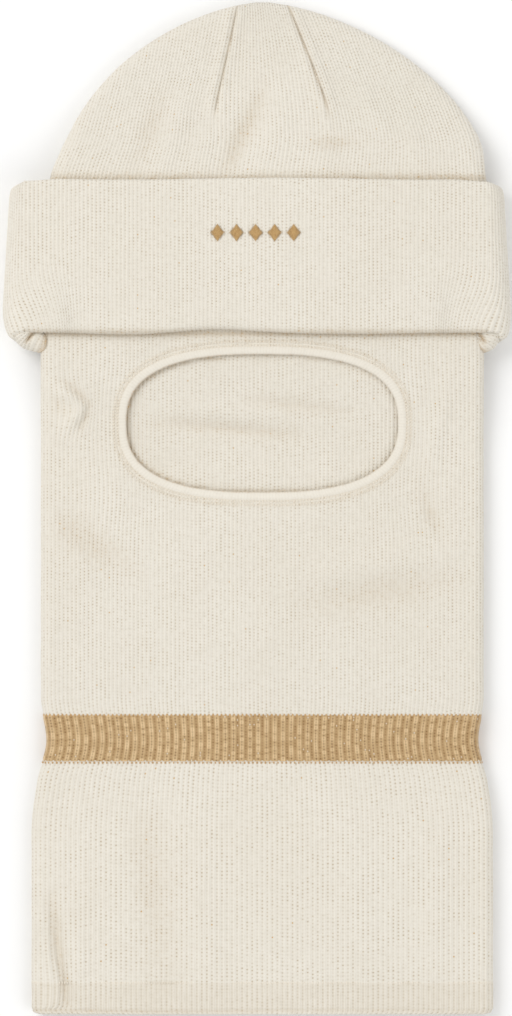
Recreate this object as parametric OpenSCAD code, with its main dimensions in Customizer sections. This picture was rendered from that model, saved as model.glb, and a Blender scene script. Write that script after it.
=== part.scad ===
// Knitted winter balaclava: a beanie with a turned-up cuff, sewn over a face tube that has
// an oval opening, a ribbed band and a neck gaiter. It lies flat with its front up on the
// plane z = 0. +Y runs to the crown and +X to the right, seen from above. Millimetres.

/* [Overall] */
// Width across the turned-up cuff, lying flat
cuff_w = 241; // [200:1:290]
// Length of the crown that shows above the cuff
crown_rise = 84.5; // [70:0.5:104]
// Height of the turned-up cuff
cuff_h = 72.5; // [55:0.5:80]
// Length of the face tube from the cuff down to the ribbed band
tube_l = 181.5; // [150:0.5:220]
// Length of the ribbed band
band_l = 23; // [15:0.5:35]
// Length of the neck gaiter from the band to its bottom edge
neck_l = 118.5; // [80:0.5:130]

/* [Knit] */
// Thickness of one knitted wall
wall = 2; // [1.6:0.1:2.6]
// Thickness of the turned-up cuff, which is knit turned in double
cuff_t = 3.5; // [2.8:0.1:4.5]
// Room between two layers that lie on each other
gap = 0.3; // [0.25:0.05:0.5]
// Room left inside between front and back, lying flat
cavity = 6; // [5:0.5:9]

/* [Crown] */
// Length of the rounded crown, from its top down to its full width
crown_bend = 95; // [80:1:115]
// How far the crown's base leans to the right of the cuff's centre
crown_lean = 6; // [0:0.5:8]
// Length over which the crown drapes down from the cuff to the surface
crown_drape = 45; // [30:1:55]
// Distance between the two front darts at the top
dart_top_w = 24; // [16:1:32]
// Distance between the two front darts at their lower ends
dart_foot_w = 56; // [40:1:70]
// Distance from the crown's top down to the darts' lower ends
dart_l = 52; // [35:1:65]
// Thickness of the sewn edge inside a dart
dart_seam_t = 2; // [1.2:0.1:2.6]

/* [Cuff] */
// Width of the rounded fold at each side of the cuff
side_reach = 11.2; // [10:0.1:14]
// How much the cuff narrows towards its upper edge, on each side
cuff_taper = 2.3; // [0:0.1:3]
// How far the cuff's upper corners are rounded inwards
corner_in = 3.7; // [1:0.1:4.2]
// How far the cuff's upper corners are rounded along the side
corner_up = 8; // [3:0.5:15]
// How far the rolled lower corners are rounded inwards
heel_in = 6; // [2:0.1:7]
// How far the rolled lower corners are rounded along the side
heel_up = 11; // [5:0.5:16]
// How far the rolled lower corners hang below the cuff's edge
heel_drop = 6; // [1:0.5:8]
// Room between the beanie and the side folds at the narrowest place
side_gap = 0.5; // [0.3:0.1:1]

/* [Face tube] */
// Length of the tube that runs up inside the beanie to the join
tube_tuck = 30; // [15:1:40]
// Width of the seam that joins tube and beanie
join_l = 3; // [2:0.5:6]
// How far the tube lies to the right of the cuff's centre
lie_shift = 3.2; // [0:0.1:5]
// Length over which the tube drapes down from the cuff to the surface
tube_drape = 60; // [45:1:80]

/* [Face opening] */
// Width of the opening inside its binding
face_w = 128.5; // [100:0.5:155]
// Height of the opening inside its binding
face_h = 65; // [45:0.5:80]
// Distance from the cuff's lower edge down to the opening
face_drop = 10.4; // [8:0.1:25]
// Roundness of the oval: 2 is an ellipse, more is squarer
face_power = 2.6; // [2:0.05:3.5]
// Width of the rolled binding round the opening
binding_w = 5.5; // [4:0.1:8]
// Height of the rolled binding
binding_h = 4.4; // [3.4:0.1:4.6]
// Rounding of the binding's edges
binding_round = 1.5; // [0.5:0.1:1.8]
// Width of the linking seam outside the binding
linking_w = 1.2; // [0.8:0.1:2]
// Height of the linking seam above the knit
linking_h = 0.5; // [0.3:0.1:0.8]

/* [Band and neck] */
// How far the ribbed band pulls in, on each side
band_pull = 3; // [0:0.1:6]
// Length of the knit above and below the band that is pulled in with it
pull_spread = 9; // [5:0.5:15]
// Length of each row of loops that links the band to the plain knit
link_l = 1.6; // [1:0.1:3]
// How much wider the gaiter is than the tube, on each side
neck_flare = 4.5; // [0:0.1:8]
// Length over which the gaiter widens
flare_l = 45; // [25:1:70]
// Length of the hem at the bottom edge
hem_l = 13.5; // [8:0.5:20]
// Extra thickness of the hem, on the inside
hem_extra = 0.6; // [0.2:0.1:0.8]
// Length of the stitched row above the hem
hem_stitch_l = 1.2; // [0.8:0.1:2]
// Depth that the stitching pulls into the knit
stitch_sink = 0.3; // [0.1:0.1:0.5]

/* [Label and emblem] */
// Width of the care label inside the gaiter
label_w = 30; // [20:1:40]
// Length of the care label
label_l = 22; // [15:1:40]
// Thickness of the care label
label_t = 0.4; // [0.3:0.1:0.6]
// How far the label sits to the left of the tube's middle
label_side = 45; // [0:1:60]
// Number of embroidered diamonds on the cuff
emblem_count = 5; // [3:2:7]
// Distance from one diamond to the next
emblem_step = 9; // [8.5:0.5:12]
// Width of one diamond, from point to point
emblem_size = 8; // [5:0.5:8]
// Height of the embroidery above the cuff
emblem_t = 0.8; // [0.4:0.1:1.2]
// Distance from the cuff's lower edge up to the emblem's middle
emblem_rise = 47; // [25:1:50]

/* [Hidden] */

cream = "#E7E0D3";
pale_cream = "#ECE7DB";
tan = "#C2A57C";
thread_tan = "#BE9B64";
white = "#F4F2EC";

// Heights of the layers, from the surface up: cuff, beanie, face tube, room inside,
// and the same layers again on the front.
z_beanie = cuff_t + gap;
z_tube = z_beanie + wall + gap;
h_tube = cavity / 2 + wall;
h_beanie = h_tube + gap + wall;
h_cuff = h_beanie + gap + cuff_t;

// Places along the length
y_top = (crown_rise + cuff_h + tube_l + band_l + neck_l) / 2;
y_cuff_top = y_top - crown_rise;
y_cuff_low = y_cuff_top - cuff_h;
y_band_top = y_cuff_low - tube_l;
y_fold = y_band_top - band_l;
y_bottom = -y_top;
y_hem = y_bottom + hem_l;
y_base = y_top - crown_bend;
y_tuck = y_cuff_low + tube_tuck;
y_join = y_tuck + join_l;
y_face = y_cuff_low - face_drop - face_h / 2;

// The cuff's roll at its lower edge, and where the flaps start beyond it
roll_r = (cuff_t + gap + wall) / 2;
y_roll = y_cuff_low + roll_r;
y_flap = y_roll + roll_r + gap;

// Half widths. The side folds start at side_x; the beanie and the tube fit inside them.
side_x = cuff_w / 2 - side_reach;
flap_half = side_x - gap;
beanie_half = cuff_w / 2 - cuff_taper - corner_in - cuff_t - side_gap;
crown_half = beanie_half - crown_lean;
tube_half = beanie_half - wall - gap - lie_shift;

// Fineness of the meshes
arc_steps = 5;
crown_rows = 13;
crown_end = 86;
crown_power = 1.25;
rim_least = 0.3;
oval_steps = 56;
tube_rows = 14;
seam_sides = 8;
overlap = 1;
skin = 0.05;

function ease(t) = let (c = max(0, min(1, t))) c * c * (3 - 2 * c);
function mix(a, b, t) = a + (b - a) * t;
function range_of(a, b, n) = [for (i = [0:n]) mix(a, b, i / n)];

// Angles round a flattened section, from the left over the front to the right, and back
left_arc = [for (i = [0:arc_steps]) 180 - 90 * i / arc_steps];
right_arc = [for (i = [0:arc_steps]) 90 - 90 * i / arc_steps];
front_half = concat([for (a = left_arc) [-1, a]], [for (a = right_arc) [1, a]]);
back_half = concat([for (a = right_arc) [1, a - 90]], [for (a = left_arc) [-1, a - 270]]);
inner_back = [for (i = [1:len(back_half) - 2]) back_half[i]];
whole_round = concat(front_half, inner_back);

// A row is [y, middle x, half width, half height, middle z].
function row_points(row, angles) =
    let (reach = min(row[3], row[2] * 0.95))
    [for (s = angles) [row[1] + s[0] * (row[2] - reach) + reach * cos(s[1]), row[0],
                       row[4] + row[3] * sin(s[1])]];

// The body of tube, band and gaiter
y_band_mid = (y_band_top + y_fold) / 2;
function tube_low(y) = z_tube * (1 - ease((y_cuff_low - y) / tube_drape));
function pull_at(y) = band_pull * ease(1 - abs(y - y_band_mid) / (band_l / 2 + pull_spread));
function body_half(y) =
    tube_half + neck_flare * ease((y_band_mid - y) / flare_l) - pull_at(y);
function body_row(y, inset) =
    [y, lie_shift, body_half(y) - inset, h_tube - inset, tube_low(y) + h_tube];
function front_mid(y) = tube_low(y) + 2 * h_tube - wall / 2;

// The beanie: its wall is at full width up to the join with the tube, then leans over to
// the base of the rounded crown
function beanie_low(y) = z_beanie * (1 - ease((y - y_cuff_top) / crown_drape));
function beanie_h(y) = mix(h_beanie, h_tube, ease((y - y_cuff_top) / crown_drape));
function wall_row(y, inset) =
    let (t = ease((y - y_join) / (y_base - y_join)))
    [y, crown_lean * t, mix(beanie_half, crown_half, t) - inset, beanie_h(y) - inset,
     beanie_low(y) + beanie_h(y)];
function rim(y, top, h) =
    y > top - h ? max(rim_least, sqrt(max(0, 1 - pow((y - top + h) / h, 2)))) : 1;
function crown_row(a, inset) =
    let (u = sin(a) / sin(crown_end))
    let (y = y_base + (crown_bend - inset) * u)
    let (h = beanie_h(y) - inset)
    [y, mix(crown_lean, lie_shift, u * u), (crown_half - inset) * pow(cos(a), crown_power),
     h * rim(y, y_top - inset, h), beanie_low(y) + beanie_h(y)];
function beanie_rows(inset) =
    concat([for (y = [y_roll, y_tuck, y_join, (y_join + y_base) / 2]) wall_row(y, inset)],
           [for (a = range_of(0, crown_end, crown_rows)) crown_row(a, inset)]);
function crown_angle(y) = asin(min(1, (y - y_base) / crown_bend) * sin(crown_end));

// Two triangles for each four-sided face
function quad(a, b, c, d) = [[a, b, c], [a, c, d]];
function flat(lists) = [for (l = lists) for (v = l) v];

// A wall between an outer and an inner surface, each a list of rows of points.
// When ring is true the rows close on themselves, otherwise they have two long edges.
module skin_between(outer, inner, ring = false) {
    m = len(outer);
    n = len(outer[0]);
    k = m * n;
    spans = ring ? n - 1 : n - 2;
    surface = [for (i = [0:m - 2]) for (j = [0:spans]) let (p = (j + 1) % n)
        concat(quad(i * n + j, (i + 1) * n + j, (i + 1) * n + p, i * n + p),
               quad(k + i * n + j, k + i * n + p, k + (i + 1) * n + p, k + (i + 1) * n + j))];
    ends = [for (j = [0:spans]) let (p = (j + 1) % n, e = (m - 1) * n)
        concat(quad(j, p, k + p, k + j), quad(e + j, k + e + j, k + e + p, e + p))];
    edges = ring ? [] : [for (i = [0:m - 2]) let (a = i * n, b = (i + 1) * n, l = n - 1)
        concat(quad(a, k + a, k + b, b), quad(a + l, b + l, k + b + l, k + a + l))];
    polyhedron(points = concat(flat(outer), flat(inner)),
               faces = concat(flat(surface), flat(ends), flat(edges)));
}

// A solid through closed rings, each a list of points in a plane across Y
module loft(rings) {
    m = len(rings);
    n = len(rings[0]);
    sides = [for (i = [0:m - 2]) for (j = [0:n - 1]) let (p = (j + 1) % n)
        quad(i * n + j, (i + 1) * n + j, (i + 1) * n + p, i * n + p)];
    near_end = [for (j = [0:n - 1]) j];
    far_end = [for (j = [n - 1:-1:0]) (m - 1) * n + j];
    polyhedron(points = flat(rings), faces = concat(flat(sides), [near_end, far_end]));
}

// A length of the body between the places in ys
module body_shell(ys, angles, outer_inset = 0, inner_inset = wall, ring = false) {
    skin_between([for (y = ys) row_points(body_row(y, outer_inset), angles)],
                 [for (y = ys) row_points(body_row(y, inner_inset), angles)], ring);
}

module beanie_half_shell(angles) {
    skin_between([for (r = beanie_rows(0)) row_points(r, angles)],
                 [for (r = beanie_rows(wall)) row_points(r, angles)]);
}

module beanie_front() { color(cream) beanie_half_shell(front_half); }
module beanie_back() { color(cream) beanie_half_shell(back_half); }

// The sewn edge of a dart, inside the crown. side is -1 or 1; face is 1 in front, -1 behind.
module dart_seam(side, face) {
    seam_r = dart_seam_t / 2;
    y_start = y_top - dart_l;
    y_end = y_top - h_tube - dart_seam_t;
    color(cream) loft([for (y = range_of(y_start, y_end, 8))
        let (t = (y - y_start) / (y_end - y_start))
        let (x = lie_shift + side * mix(dart_foot_w, dart_top_w, t) / 2)
        let (depth = beanie_h(y) - wall - seam_r - skin)
        let (z = beanie_low(y) + beanie_h(y) + face * depth)
        [for (j = [0:seam_sides - 1]) let (a = 180 - 360 * j / seam_sides)
            [x + seam_r * cos(a), y, z + seam_r * sin(a)]]]);
}
module dart_seam_front_left() { dart_seam(-1, 1); }
module dart_seam_front_right() { dart_seam(1, 1); }
module dart_seam_back_left() { dart_seam(-1, -1); }
module dart_seam_back_right() { dart_seam(1, -1); }

// The ring of sewn knit between the tube's upper end and the beanie's inside
module join_seam() {
    ys = [y_tuck, y_join];
    color(pale_cream)
        skin_between([for (y = ys) row_points(wall_row(y, wall), whole_round)],
                     [for (y = ys) row_points(body_row(y, wall), whole_round)], true);
}

// The fold at the cuff's lower edge. It holds the beanie wall's edge in a step.
module cuff_roll(z, wall_z) {
    color(cream) difference() {
        translate([-flap_half, y_roll, z]) rotate([0, 90, 0])
            cylinder(r = roll_r, h = 2 * flap_half, $fn = 48);
        translate([-flap_half - overlap, y_roll, wall_z])
            cube([2 * (flap_half + overlap), roll_r + overlap, wall]);
    }
}
module cuff_roll_front() { cuff_roll(2 * h_cuff - roll_r, 2 * h_cuff - z_beanie - wall); }
module cuff_roll_back() { cuff_roll(roll_r, z_beanie); }

// A flap of the cuff, turned up, with its folded upper edge
module cuff_flap(z) {
    edge_r = cuff_t / 2;
    color(cream) union() {
        translate([-flap_half, y_flap, z])
            cube([2 * flap_half, y_cuff_top - edge_r - y_flap, cuff_t]);
        translate([-flap_half, y_cuff_top - edge_r, z + edge_r]) rotate([0, 90, 0])
            cylinder(r = edge_r, h = 2 * flap_half, $fn = 48);
    }
}
module cuff_front() { cuff_flap(2 * h_cuff - cuff_t); }
module cuff_back() { cuff_flap(0); }

// The rounded fold at a side of the cuff, with its rounded corners. side is -1 or 1.
y_heel = y_cuff_low - heel_drop;
function corner(reach, depth, span) =
    span >= depth ? 0 : reach * (1 - sqrt(1 - pow(1 - span / depth, 2)));
function side_width(y) =
    side_reach - cuff_taper * ease((y - y_cuff_low) / cuff_h)
    - corner(corner_in, corner_up, y_cuff_top - y) - corner(heel_in, heel_up, y - y_heel);
module cuff_side(side) {
    ys = concat([for (t = range_of(0, 1, 5)) y_heel + heel_up * t * t],
                range_of(y_heel + 1.6 * heel_up, y_cuff_top - 1.6 * corner_up, 4),
                [for (t = range_of(1, 0, 5)) y_cuff_top - corner_up * t * t]);
    turns = [for (i = [0:2 * arc_steps]) 90 - 180 * i / (2 * arc_steps)];
    angles = side > 0 ? turns : [for (a = turns) a + 180];
    function ring_at(y, inset) = [for (a = angles)
        [side * side_x + (side_width(y) - inset) * cos(a), y, h_cuff + (h_cuff - inset) * sin(a)]];
    color(cream) skin_between([for (y = ys) ring_at(y, 0)], [for (y = ys) ring_at(y, cuff_t)]);
}
module cuff_side_left() { cuff_side(-1); }
module cuff_side_right() { cuff_side(1); }

module embroidered_emblem() {
    side = emblem_size / sqrt(2);
    middle = (emblem_count - 1) / 2;
    color(thread_tan) for (i = [0:emblem_count - 1])
        translate([(i - middle) * emblem_step, y_cuff_low + emblem_rise, 2 * h_cuff])
            rotate([0, 0, 45]) translate([-side / 2, -side / 2, 0]) cube([side, side, emblem_t]);
}

// The oval of the face opening, grown by d on every side
function oval_sign(v) = v < 0 ? -1 : 1;
function oval_point(i, d) =
    let (a = 360 * i / oval_steps)
    [lie_shift + (face_w / 2 + d) * oval_sign(cos(a)) * pow(abs(cos(a)), 2 / face_power),
     y_face + (face_h / 2 + d) * oval_sign(sin(a)) * pow(abs(sin(a)), 2 / face_power)];

tube_ys = concat(range_of(y_band_top + link_l, y_cuff_low - tube_drape, 3),
                 [for (i = [1:tube_rows]) mix(y_cuff_low - tube_drape, y_cuff_low, i / tube_rows)],
                 [y_tuck]);
module face_tube_front() {
    color(cream) difference() {
        body_shell(tube_ys, front_half);
        translate([0, 0, h_tube]) linear_extrude(height = 2 * h_cuff)
            polygon([for (i = [0:oval_steps - 1]) oval_point(i, binding_w)]);
    }
}
module face_tube_back() { color(cream) body_shell(tube_ys, back_half); }

// A closed ring round the opening. Each point of the section is [growth, height].
module opening_ring(section) {
    n = len(section);
    points = [for (i = [0:oval_steps - 1]) for (s = section)
        let (p = oval_point(i, s[0])) [p[0], p[1], front_mid(p[1]) + s[1]]];
    faces = [for (i = [0:oval_steps - 1]) for (j = [0:n - 1])
        let (a = i * n, b = ((i + 1) % oval_steps) * n, p = (j + 1) % n)
        quad(a + j, a + p, b + p, b + j)];
    polyhedron(points = points, faces = flat(faces));
}
module face_binding() {
    half_h = binding_h / 2;
    r = binding_round;
    color(pale_cream) opening_ring([[0, half_h - r], [r, half_h], [binding_w - r, half_h],
        [binding_w, wall / 2], [binding_w, -wall / 2], [binding_w - r, -half_h], [r, -half_h],
        [0, r - half_h]]);
}
module binding_linking() {
    near = binding_w + skin;
    low = wall / 2 + skin;
    color(pale_cream) opening_ring([[near, low], [near, low + linking_h],
        [near + linking_w, low + linking_h], [near + linking_w, low]]);
}

module band_link_upper() {
    color(tan) body_shell([y_band_top, y_band_top + link_l], whole_round, ring = true);
}
module rib_band() {
    color(tan) body_shell(range_of(y_fold + link_l, y_band_top, 5), whole_round, ring = true);
}
module band_link_lower() {
    color(cream) body_shell([y_fold, y_fold + link_l], whole_round, ring = true);
}

gaiter_ys = range_of(y_hem + hem_stitch_l, y_fold - gap, 7);
module gaiter_front() { color(cream) body_shell(gaiter_ys, front_half); }
module gaiter_back() { color(cream) body_shell(gaiter_ys, back_half); }
module hem_stitching() {
    color(pale_cream) body_shell([y_hem, y_hem + hem_stitch_l], whole_round,
                                 outer_inset = stitch_sink, ring = true);
}
module neck_hem() {
    color(cream) body_shell([y_bottom, y_hem], whole_round,
                            inner_inset = wall + hem_extra, ring = true);
}

// The label hangs from the stitched row above the hem, inside the back
module care_label() {
    color(white) translate([lie_shift - label_side, y_hem + hem_stitch_l, wall + skin])
        cube([label_w, label_l, label_t]);
}

beanie_front();
beanie_back();
dart_seam_front_left();
dart_seam_front_right();
dart_seam_back_left();
dart_seam_back_right();
join_seam();
cuff_roll_front();
cuff_roll_back();
cuff_front();
cuff_back();
cuff_side_left();
cuff_side_right();
embroidered_emblem();
face_tube_front();
face_tube_back();
face_binding();
binding_linking();
band_link_upper();
rib_band();
band_link_lower();
gaiter_front();
gaiter_back();
hem_stitching();
neck_hem();
care_label();
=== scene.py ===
"""A ski balaclava in fine ribbed knit, with a turned-up cuff and an oval face opening.

It lies flat with its front up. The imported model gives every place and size. Each sub-assembly is
a class that builds its knitted pieces around the frame, in millimetres, and dresses them.
"""

import logging
import math
from dataclasses import dataclass, replace
from enum import Enum
from typing import Sequence

import bpy
import numpy as np
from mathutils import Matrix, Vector


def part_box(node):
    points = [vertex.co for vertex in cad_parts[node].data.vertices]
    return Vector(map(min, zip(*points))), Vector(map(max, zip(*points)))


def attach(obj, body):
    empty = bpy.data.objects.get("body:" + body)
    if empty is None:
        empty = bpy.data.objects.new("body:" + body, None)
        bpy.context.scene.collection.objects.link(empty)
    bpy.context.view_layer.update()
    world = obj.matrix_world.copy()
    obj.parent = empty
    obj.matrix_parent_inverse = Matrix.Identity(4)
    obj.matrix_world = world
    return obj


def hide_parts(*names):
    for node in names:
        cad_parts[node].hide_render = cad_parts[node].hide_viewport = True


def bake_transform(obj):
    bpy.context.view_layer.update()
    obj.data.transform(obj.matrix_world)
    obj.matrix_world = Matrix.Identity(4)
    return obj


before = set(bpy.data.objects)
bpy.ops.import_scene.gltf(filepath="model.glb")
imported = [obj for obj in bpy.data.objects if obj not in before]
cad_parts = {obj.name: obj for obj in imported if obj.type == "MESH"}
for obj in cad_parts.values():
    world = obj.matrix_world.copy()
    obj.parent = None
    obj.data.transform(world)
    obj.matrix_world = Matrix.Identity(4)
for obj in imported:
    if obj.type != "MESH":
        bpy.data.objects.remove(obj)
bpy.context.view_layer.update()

MM = 0.001
WALE = 1.95  # distance between two ribs of the knit, mm
COURSE = 1.5  # height of one loop of the knit, mm
FINENESS = 3  # columns of the mesh for each rib
ROW = 1.9  # distance between two rows of the mesh, mm
LAYER = 2.0  # thickness of one layer of knit, mm
GAP = 0.3  # clearance between layers, mm
RIM_RELIEF = 0.5  # share of the ribs that is left at the edges of a sheet
VALLEY_SHADE = 0.2  # painted shade that a valley takes for each mm of its depth
CREASE_END = 0.35  # share of a crease's height that is left at its ends
SHARP = math.radians(50)  # edges that turn more than this are shaded sharp
log = logging.getLogger("balaclava")


class Half(Enum):
    """The two halves of the garment's round body."""

    FRONT = 1
    BACK = -1


class Side(Enum):
    """The two sides, as seen from above."""

    LEFT = -1
    RIGHT = 1


def ease(t: np.ndarray | float) -> np.ndarray | float:
    """A smooth step from 0 to 1."""
    c = np.clip(t, 0.0, 1.0)
    return c * c * (3 - 2 * c)


def mix(a: float, b: float, t: np.ndarray | float) -> np.ndarray | float:
    """The value a share t of the way from a to b."""
    return a + (b - a) * t


def bell(t: np.ndarray | float) -> np.ndarray | float:
    """A bell that is 1 at 0 and has faded out by about 2."""
    return np.exp(-np.square(t))


def corner(t: np.ndarray | float) -> np.ndarray | float:
    """A quarter round, from 1 at 0 to 0 at 1."""
    return 1 - np.sqrt(np.clip(1 - np.square(1 - np.clip(t, 0, 1)), 0, 1))


def spaced(start: float, end: float, step: float = ROW) -> np.ndarray:
    """Evenly spaced values from start to end, about a step apart."""
    return np.linspace(start, end, max(2, int(round(abs(end - start) / step)) + 1))


def low(node: str, axis: int) -> float:
    """The lowest coordinate of a frame node, mm."""
    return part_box(node)[0][axis] / MM


def high(node: str, axis: int) -> float:
    """The highest coordinate of a frame node, mm."""
    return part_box(node)[1][axis] / MM


# ------------------------------------------------------------------ how the garment lies


@dataclass(frozen=True)
class Crease:
    """A long soft ridge in the knit, or a valley where its height is negative, in mm."""

    start: tuple[float, float]
    end: tuple[float, float]
    width: float
    height: float

    def rise(self, x: np.ndarray, y: np.ndarray) -> np.ndarray:
        """The rise at each point.

        Args:
            x: Places across, mm.
            y: Places along, mm.

        Returns:
            The rise of each point, mm.
        """
        a = np.array(self.start)
        d = np.array(self.end) - a
        t = np.clip(((x - a[0]) * d[0] + (y - a[1]) * d[1]) / (d @ d), 0, 1)
        away = np.hypot(x - a[0] - t * d[0], y - a[1] - t * d[1])
        fade = mix(CREASE_END, 1.0, np.sin(math.pi * np.clip(t, 0.02, 0.98)))
        return self.height * fade * bell(away / self.width)


@dataclass(frozen=True)
class Pucker:
    """A spot where the ribs are pushed aside: its middle, its reach and the push, in mm."""

    middle: tuple[float, float]
    reach: tuple[float, float]
    push: float

    def shift(self, x: np.ndarray, y: np.ndarray) -> np.ndarray:
        """How far each point is pushed across.

        Args:
            x: Places across, mm.
            y: Places along, mm.

        Returns:
            The push at each point, mm.
        """
        u = (x - self.middle[0]) / self.reach[0]
        v = (y - self.middle[1]) / self.reach[1]
        return self.push * bell(u) * bell(v)


@dataclass(frozen=True)
class Lay:
    """The flat garment's places along its length and its half widths, in millimetres."""

    y_top: float
    y_cuff_top: float
    y_cuff_low: float
    y_roll: float
    y_join: float
    y_tuck: float
    y_band_top: float
    y_fold: float
    y_hem: float
    y_bottom: float
    z_top: float
    cuff_t: float
    side_x: float
    cuff_half: float
    tube_half: float
    gaiter_half: float
    beanie_half: float
    shift: float
    band_pull: float = 3.0
    pull_spread: float = 9.0
    flare: float = 45.0
    hem_corner: float = 2.4
    h_tube: float = 5.0
    h_beanie: float = 7.3
    crown_lean: float = 6.0
    crown_sway: float = 2.9
    sway_rise: float = 22.0
    crown_bend: float = 95.0
    crown_end: float = math.radians(86)
    crown_power: float = 1.25
    crown_drape: float = 45.0
    tube_drape: float = 60.0

    @staticmethod
    def from_frame() -> "Lay":
        """Reads the lay of the garment from the frame's boxes.

        Returns:
            The lay.
        """
        y_cuff_low = low("cuff_roll_front", 1)
        shift = (high("face_binding", 0) + low("face_binding", 0)) / 2
        return Lay(
            y_top=high("beanie_front", 1),
            y_cuff_top=high("cuff_front", 1),
            y_cuff_low=y_cuff_low,
            y_roll=(high("cuff_roll_front", 1) + y_cuff_low) / 2,
            y_join=high("join_seam", 1),
            y_tuck=high("face_tube_front", 1),
            y_band_top=low("band_link_upper", 1),
            y_fold=low("band_link_lower", 1),
            y_hem=low("gaiter_front", 1),
            y_bottom=low("neck_hem", 1),
            z_top=high("cuff_front", 2),
            cuff_t=high("cuff_front", 2) - low("cuff_front", 2),
            side_x=low("cuff_side_right", 0),
            cuff_half=high("cuff_side_right", 0),
            tube_half=high("face_tube_front", 0) - shift,
            gaiter_half=high("gaiter_front", 0) - shift,
            beanie_half=high("beanie_front", 0),
            shift=shift,
        )

    @property
    def h_cuff(self) -> float:
        """Half the height of the pile at the cuff."""
        return self.z_top / 2

    @property
    def y_base(self) -> float:
        """Where the rounded crown starts."""
        return self.y_top - self.crown_bend

    @property
    def crown_half(self) -> float:
        """Half the width where the crown starts."""
        return self.beanie_half - self.crown_lean

    def tube_mid(self, y: np.ndarray) -> np.ndarray:
        """The height of the tube's middle plane."""
        rise = self.cuff_t + LAYER + 2 * GAP
        return self.h_tube + rise * (1 - ease((self.y_cuff_low - y) / self.tube_drape))

    def body_half(self, y: np.ndarray) -> np.ndarray:
        """Half the width of the tube, band and gaiter.

        Args:
            y: Places along, mm.

        Returns:
            Half the width at each place, mm.
        """
        middle = (self.y_band_top + self.y_fold) / 2
        reach = (self.y_band_top - self.y_fold) / 2 + self.pull_spread
        flared = self.gaiter_half - self.tube_half
        return (
            self.tube_half
            + flared * ease((middle - y) / self.flare)
            - self.band_pull * ease(1 - np.abs(y - middle) / reach)
            - self.hem_corner * corner((y - self.y_bottom) / self.hem_corner)
        )

    def beanie_h(self, y: np.ndarray) -> np.ndarray:
        """Half the height of the beanie's section."""
        return mix(self.h_beanie, self.h_tube, ease((y - self.y_cuff_top) / self.crown_drape))

    def beanie_mid(self, y: np.ndarray) -> np.ndarray:
        """The height of the beanie's middle plane.

        Args:
            y: Places along, mm.

        Returns:
            The height at each place, mm.
        """
        rise = self.cuff_t + GAP
        lift = rise * (1 - ease((y - self.y_cuff_top) / self.crown_drape))
        return lift + self.beanie_h(y)

    def wall_share(self, y: np.ndarray) -> np.ndarray:
        """How far up the beanie's straight wall each place is, from 0 to 1."""
        return ease((y - self.y_join) / (self.y_base - self.y_join))

    def crown_turn(self, y: np.ndarray) -> np.ndarray:
        """How far round the crown's bend each place is, as a sine."""
        return np.clip((y - self.y_base) / self.crown_bend, 0, 1)

    def beanie_width(self, y: np.ndarray) -> np.ndarray:
        """Half the width of the beanie.

        Args:
            y: Places along, mm.

        Returns:
            Half the width at each place, mm.
        """
        wall = mix(self.beanie_half, self.crown_half, self.wall_share(y))
        angle = np.arcsin(self.crown_turn(y) * math.sin(self.crown_end))
        return np.where(y < self.y_base, wall, self.crown_half * np.cos(angle) ** self.crown_power)

    def beanie_centre(self, y: np.ndarray) -> np.ndarray:
        """The beanie's middle line, which leans to the right over the crown.

        Args:
            y: Places along, mm.

        Returns:
            How far to the right the middle is at each place, mm.
        """
        turn = self.crown_turn(y) ** 2
        lean = mix(self.crown_lean, self.shift, turn)
        sway = self.crown_sway * ease((y - self.y_cuff_top) / self.sway_rise) * (1 - turn)
        return np.where(y < self.y_base, self.crown_lean * self.wall_share(y), lean) + sway


# ------------------------------------------------------------------ meshes of knit


@dataclass
class KnitGrid:
    """A grid of points of one knitted surface, rows of courses by columns of wales.

    Args:
        points: Places in mm, shape (rows, columns, 3).
        wale: The rib each point is on, counted across.
        course: The loop each point is on, counted along.
        kept: Which faces there are, shape (rows - 1, columns - 1), or None for all.
        painted_shade: How much painted shade each point takes, from 0 to 1, in crevices, valleys
            and under edges.
        relief: The share of the ribs' height at each point.
        round_rows: True when the last row joins the first.
    """

    points: np.ndarray
    wale: np.ndarray
    course: np.ndarray
    kept: np.ndarray | None = None
    painted_shade: np.ndarray | None = None
    relief: np.ndarray | None = None
    round_rows: bool = False

    def values(self) -> dict[str, np.ndarray]:
        """The numbers to keep at the points, by name.

        Returns:
            An array of the grid's shape for each name.
        """
        shape = self.wale.shape
        return {
            "wale": self.wale,
            "course": self.course,
            "relief": np.ones(shape) if self.relief is None else self.relief,
            "painted_shade": np.zeros(shape) if self.painted_shade is None else self.painted_shade,
        }


def mirrored(grid: KnitGrid) -> KnitGrid:
    """The grid with its columns the other way, so that its outside faces down.

    Args:
        grid: The grid, as seen from its outside.

    Returns:
        The turned grid.
    """
    flip = {
        key: None if getattr(grid, key) is None else getattr(grid, key)[:, ::-1]
        for key in ("points", "wale", "course", "kept", "painted_shade", "relief")
    }
    return KnitGrid(**flip, round_rows=grid.round_rows)


def quads_of(index: np.ndarray) -> np.ndarray:
    """The corner numbers of the four-sided faces between a grid's rows and columns."""
    return np.stack([index[:-1, :-1], index[:-1, 1:], index[1:, 1:], index[1:, :-1]], axis=-1)


def numbered(rows: int, columns: int) -> np.ndarray:
    """The numbers of a grid's points."""
    return np.arange(rows * columns).reshape(rows, columns)


def faces_of(grid: KnitGrid) -> np.ndarray:
    """The corner numbers of a grid's four-sided faces.

    Args:
        grid: The grid of points.

    Returns:
        An array of four corner numbers for each face.
    """
    index = numbered(*grid.wale.shape)
    if grid.round_rows:
        index = np.vstack([index, index[:1]])
    quads = quads_of(index)
    kept = np.ones(quads.shape[:2], bool) if grid.kept is None else grid.kept
    return quads[kept]


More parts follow.
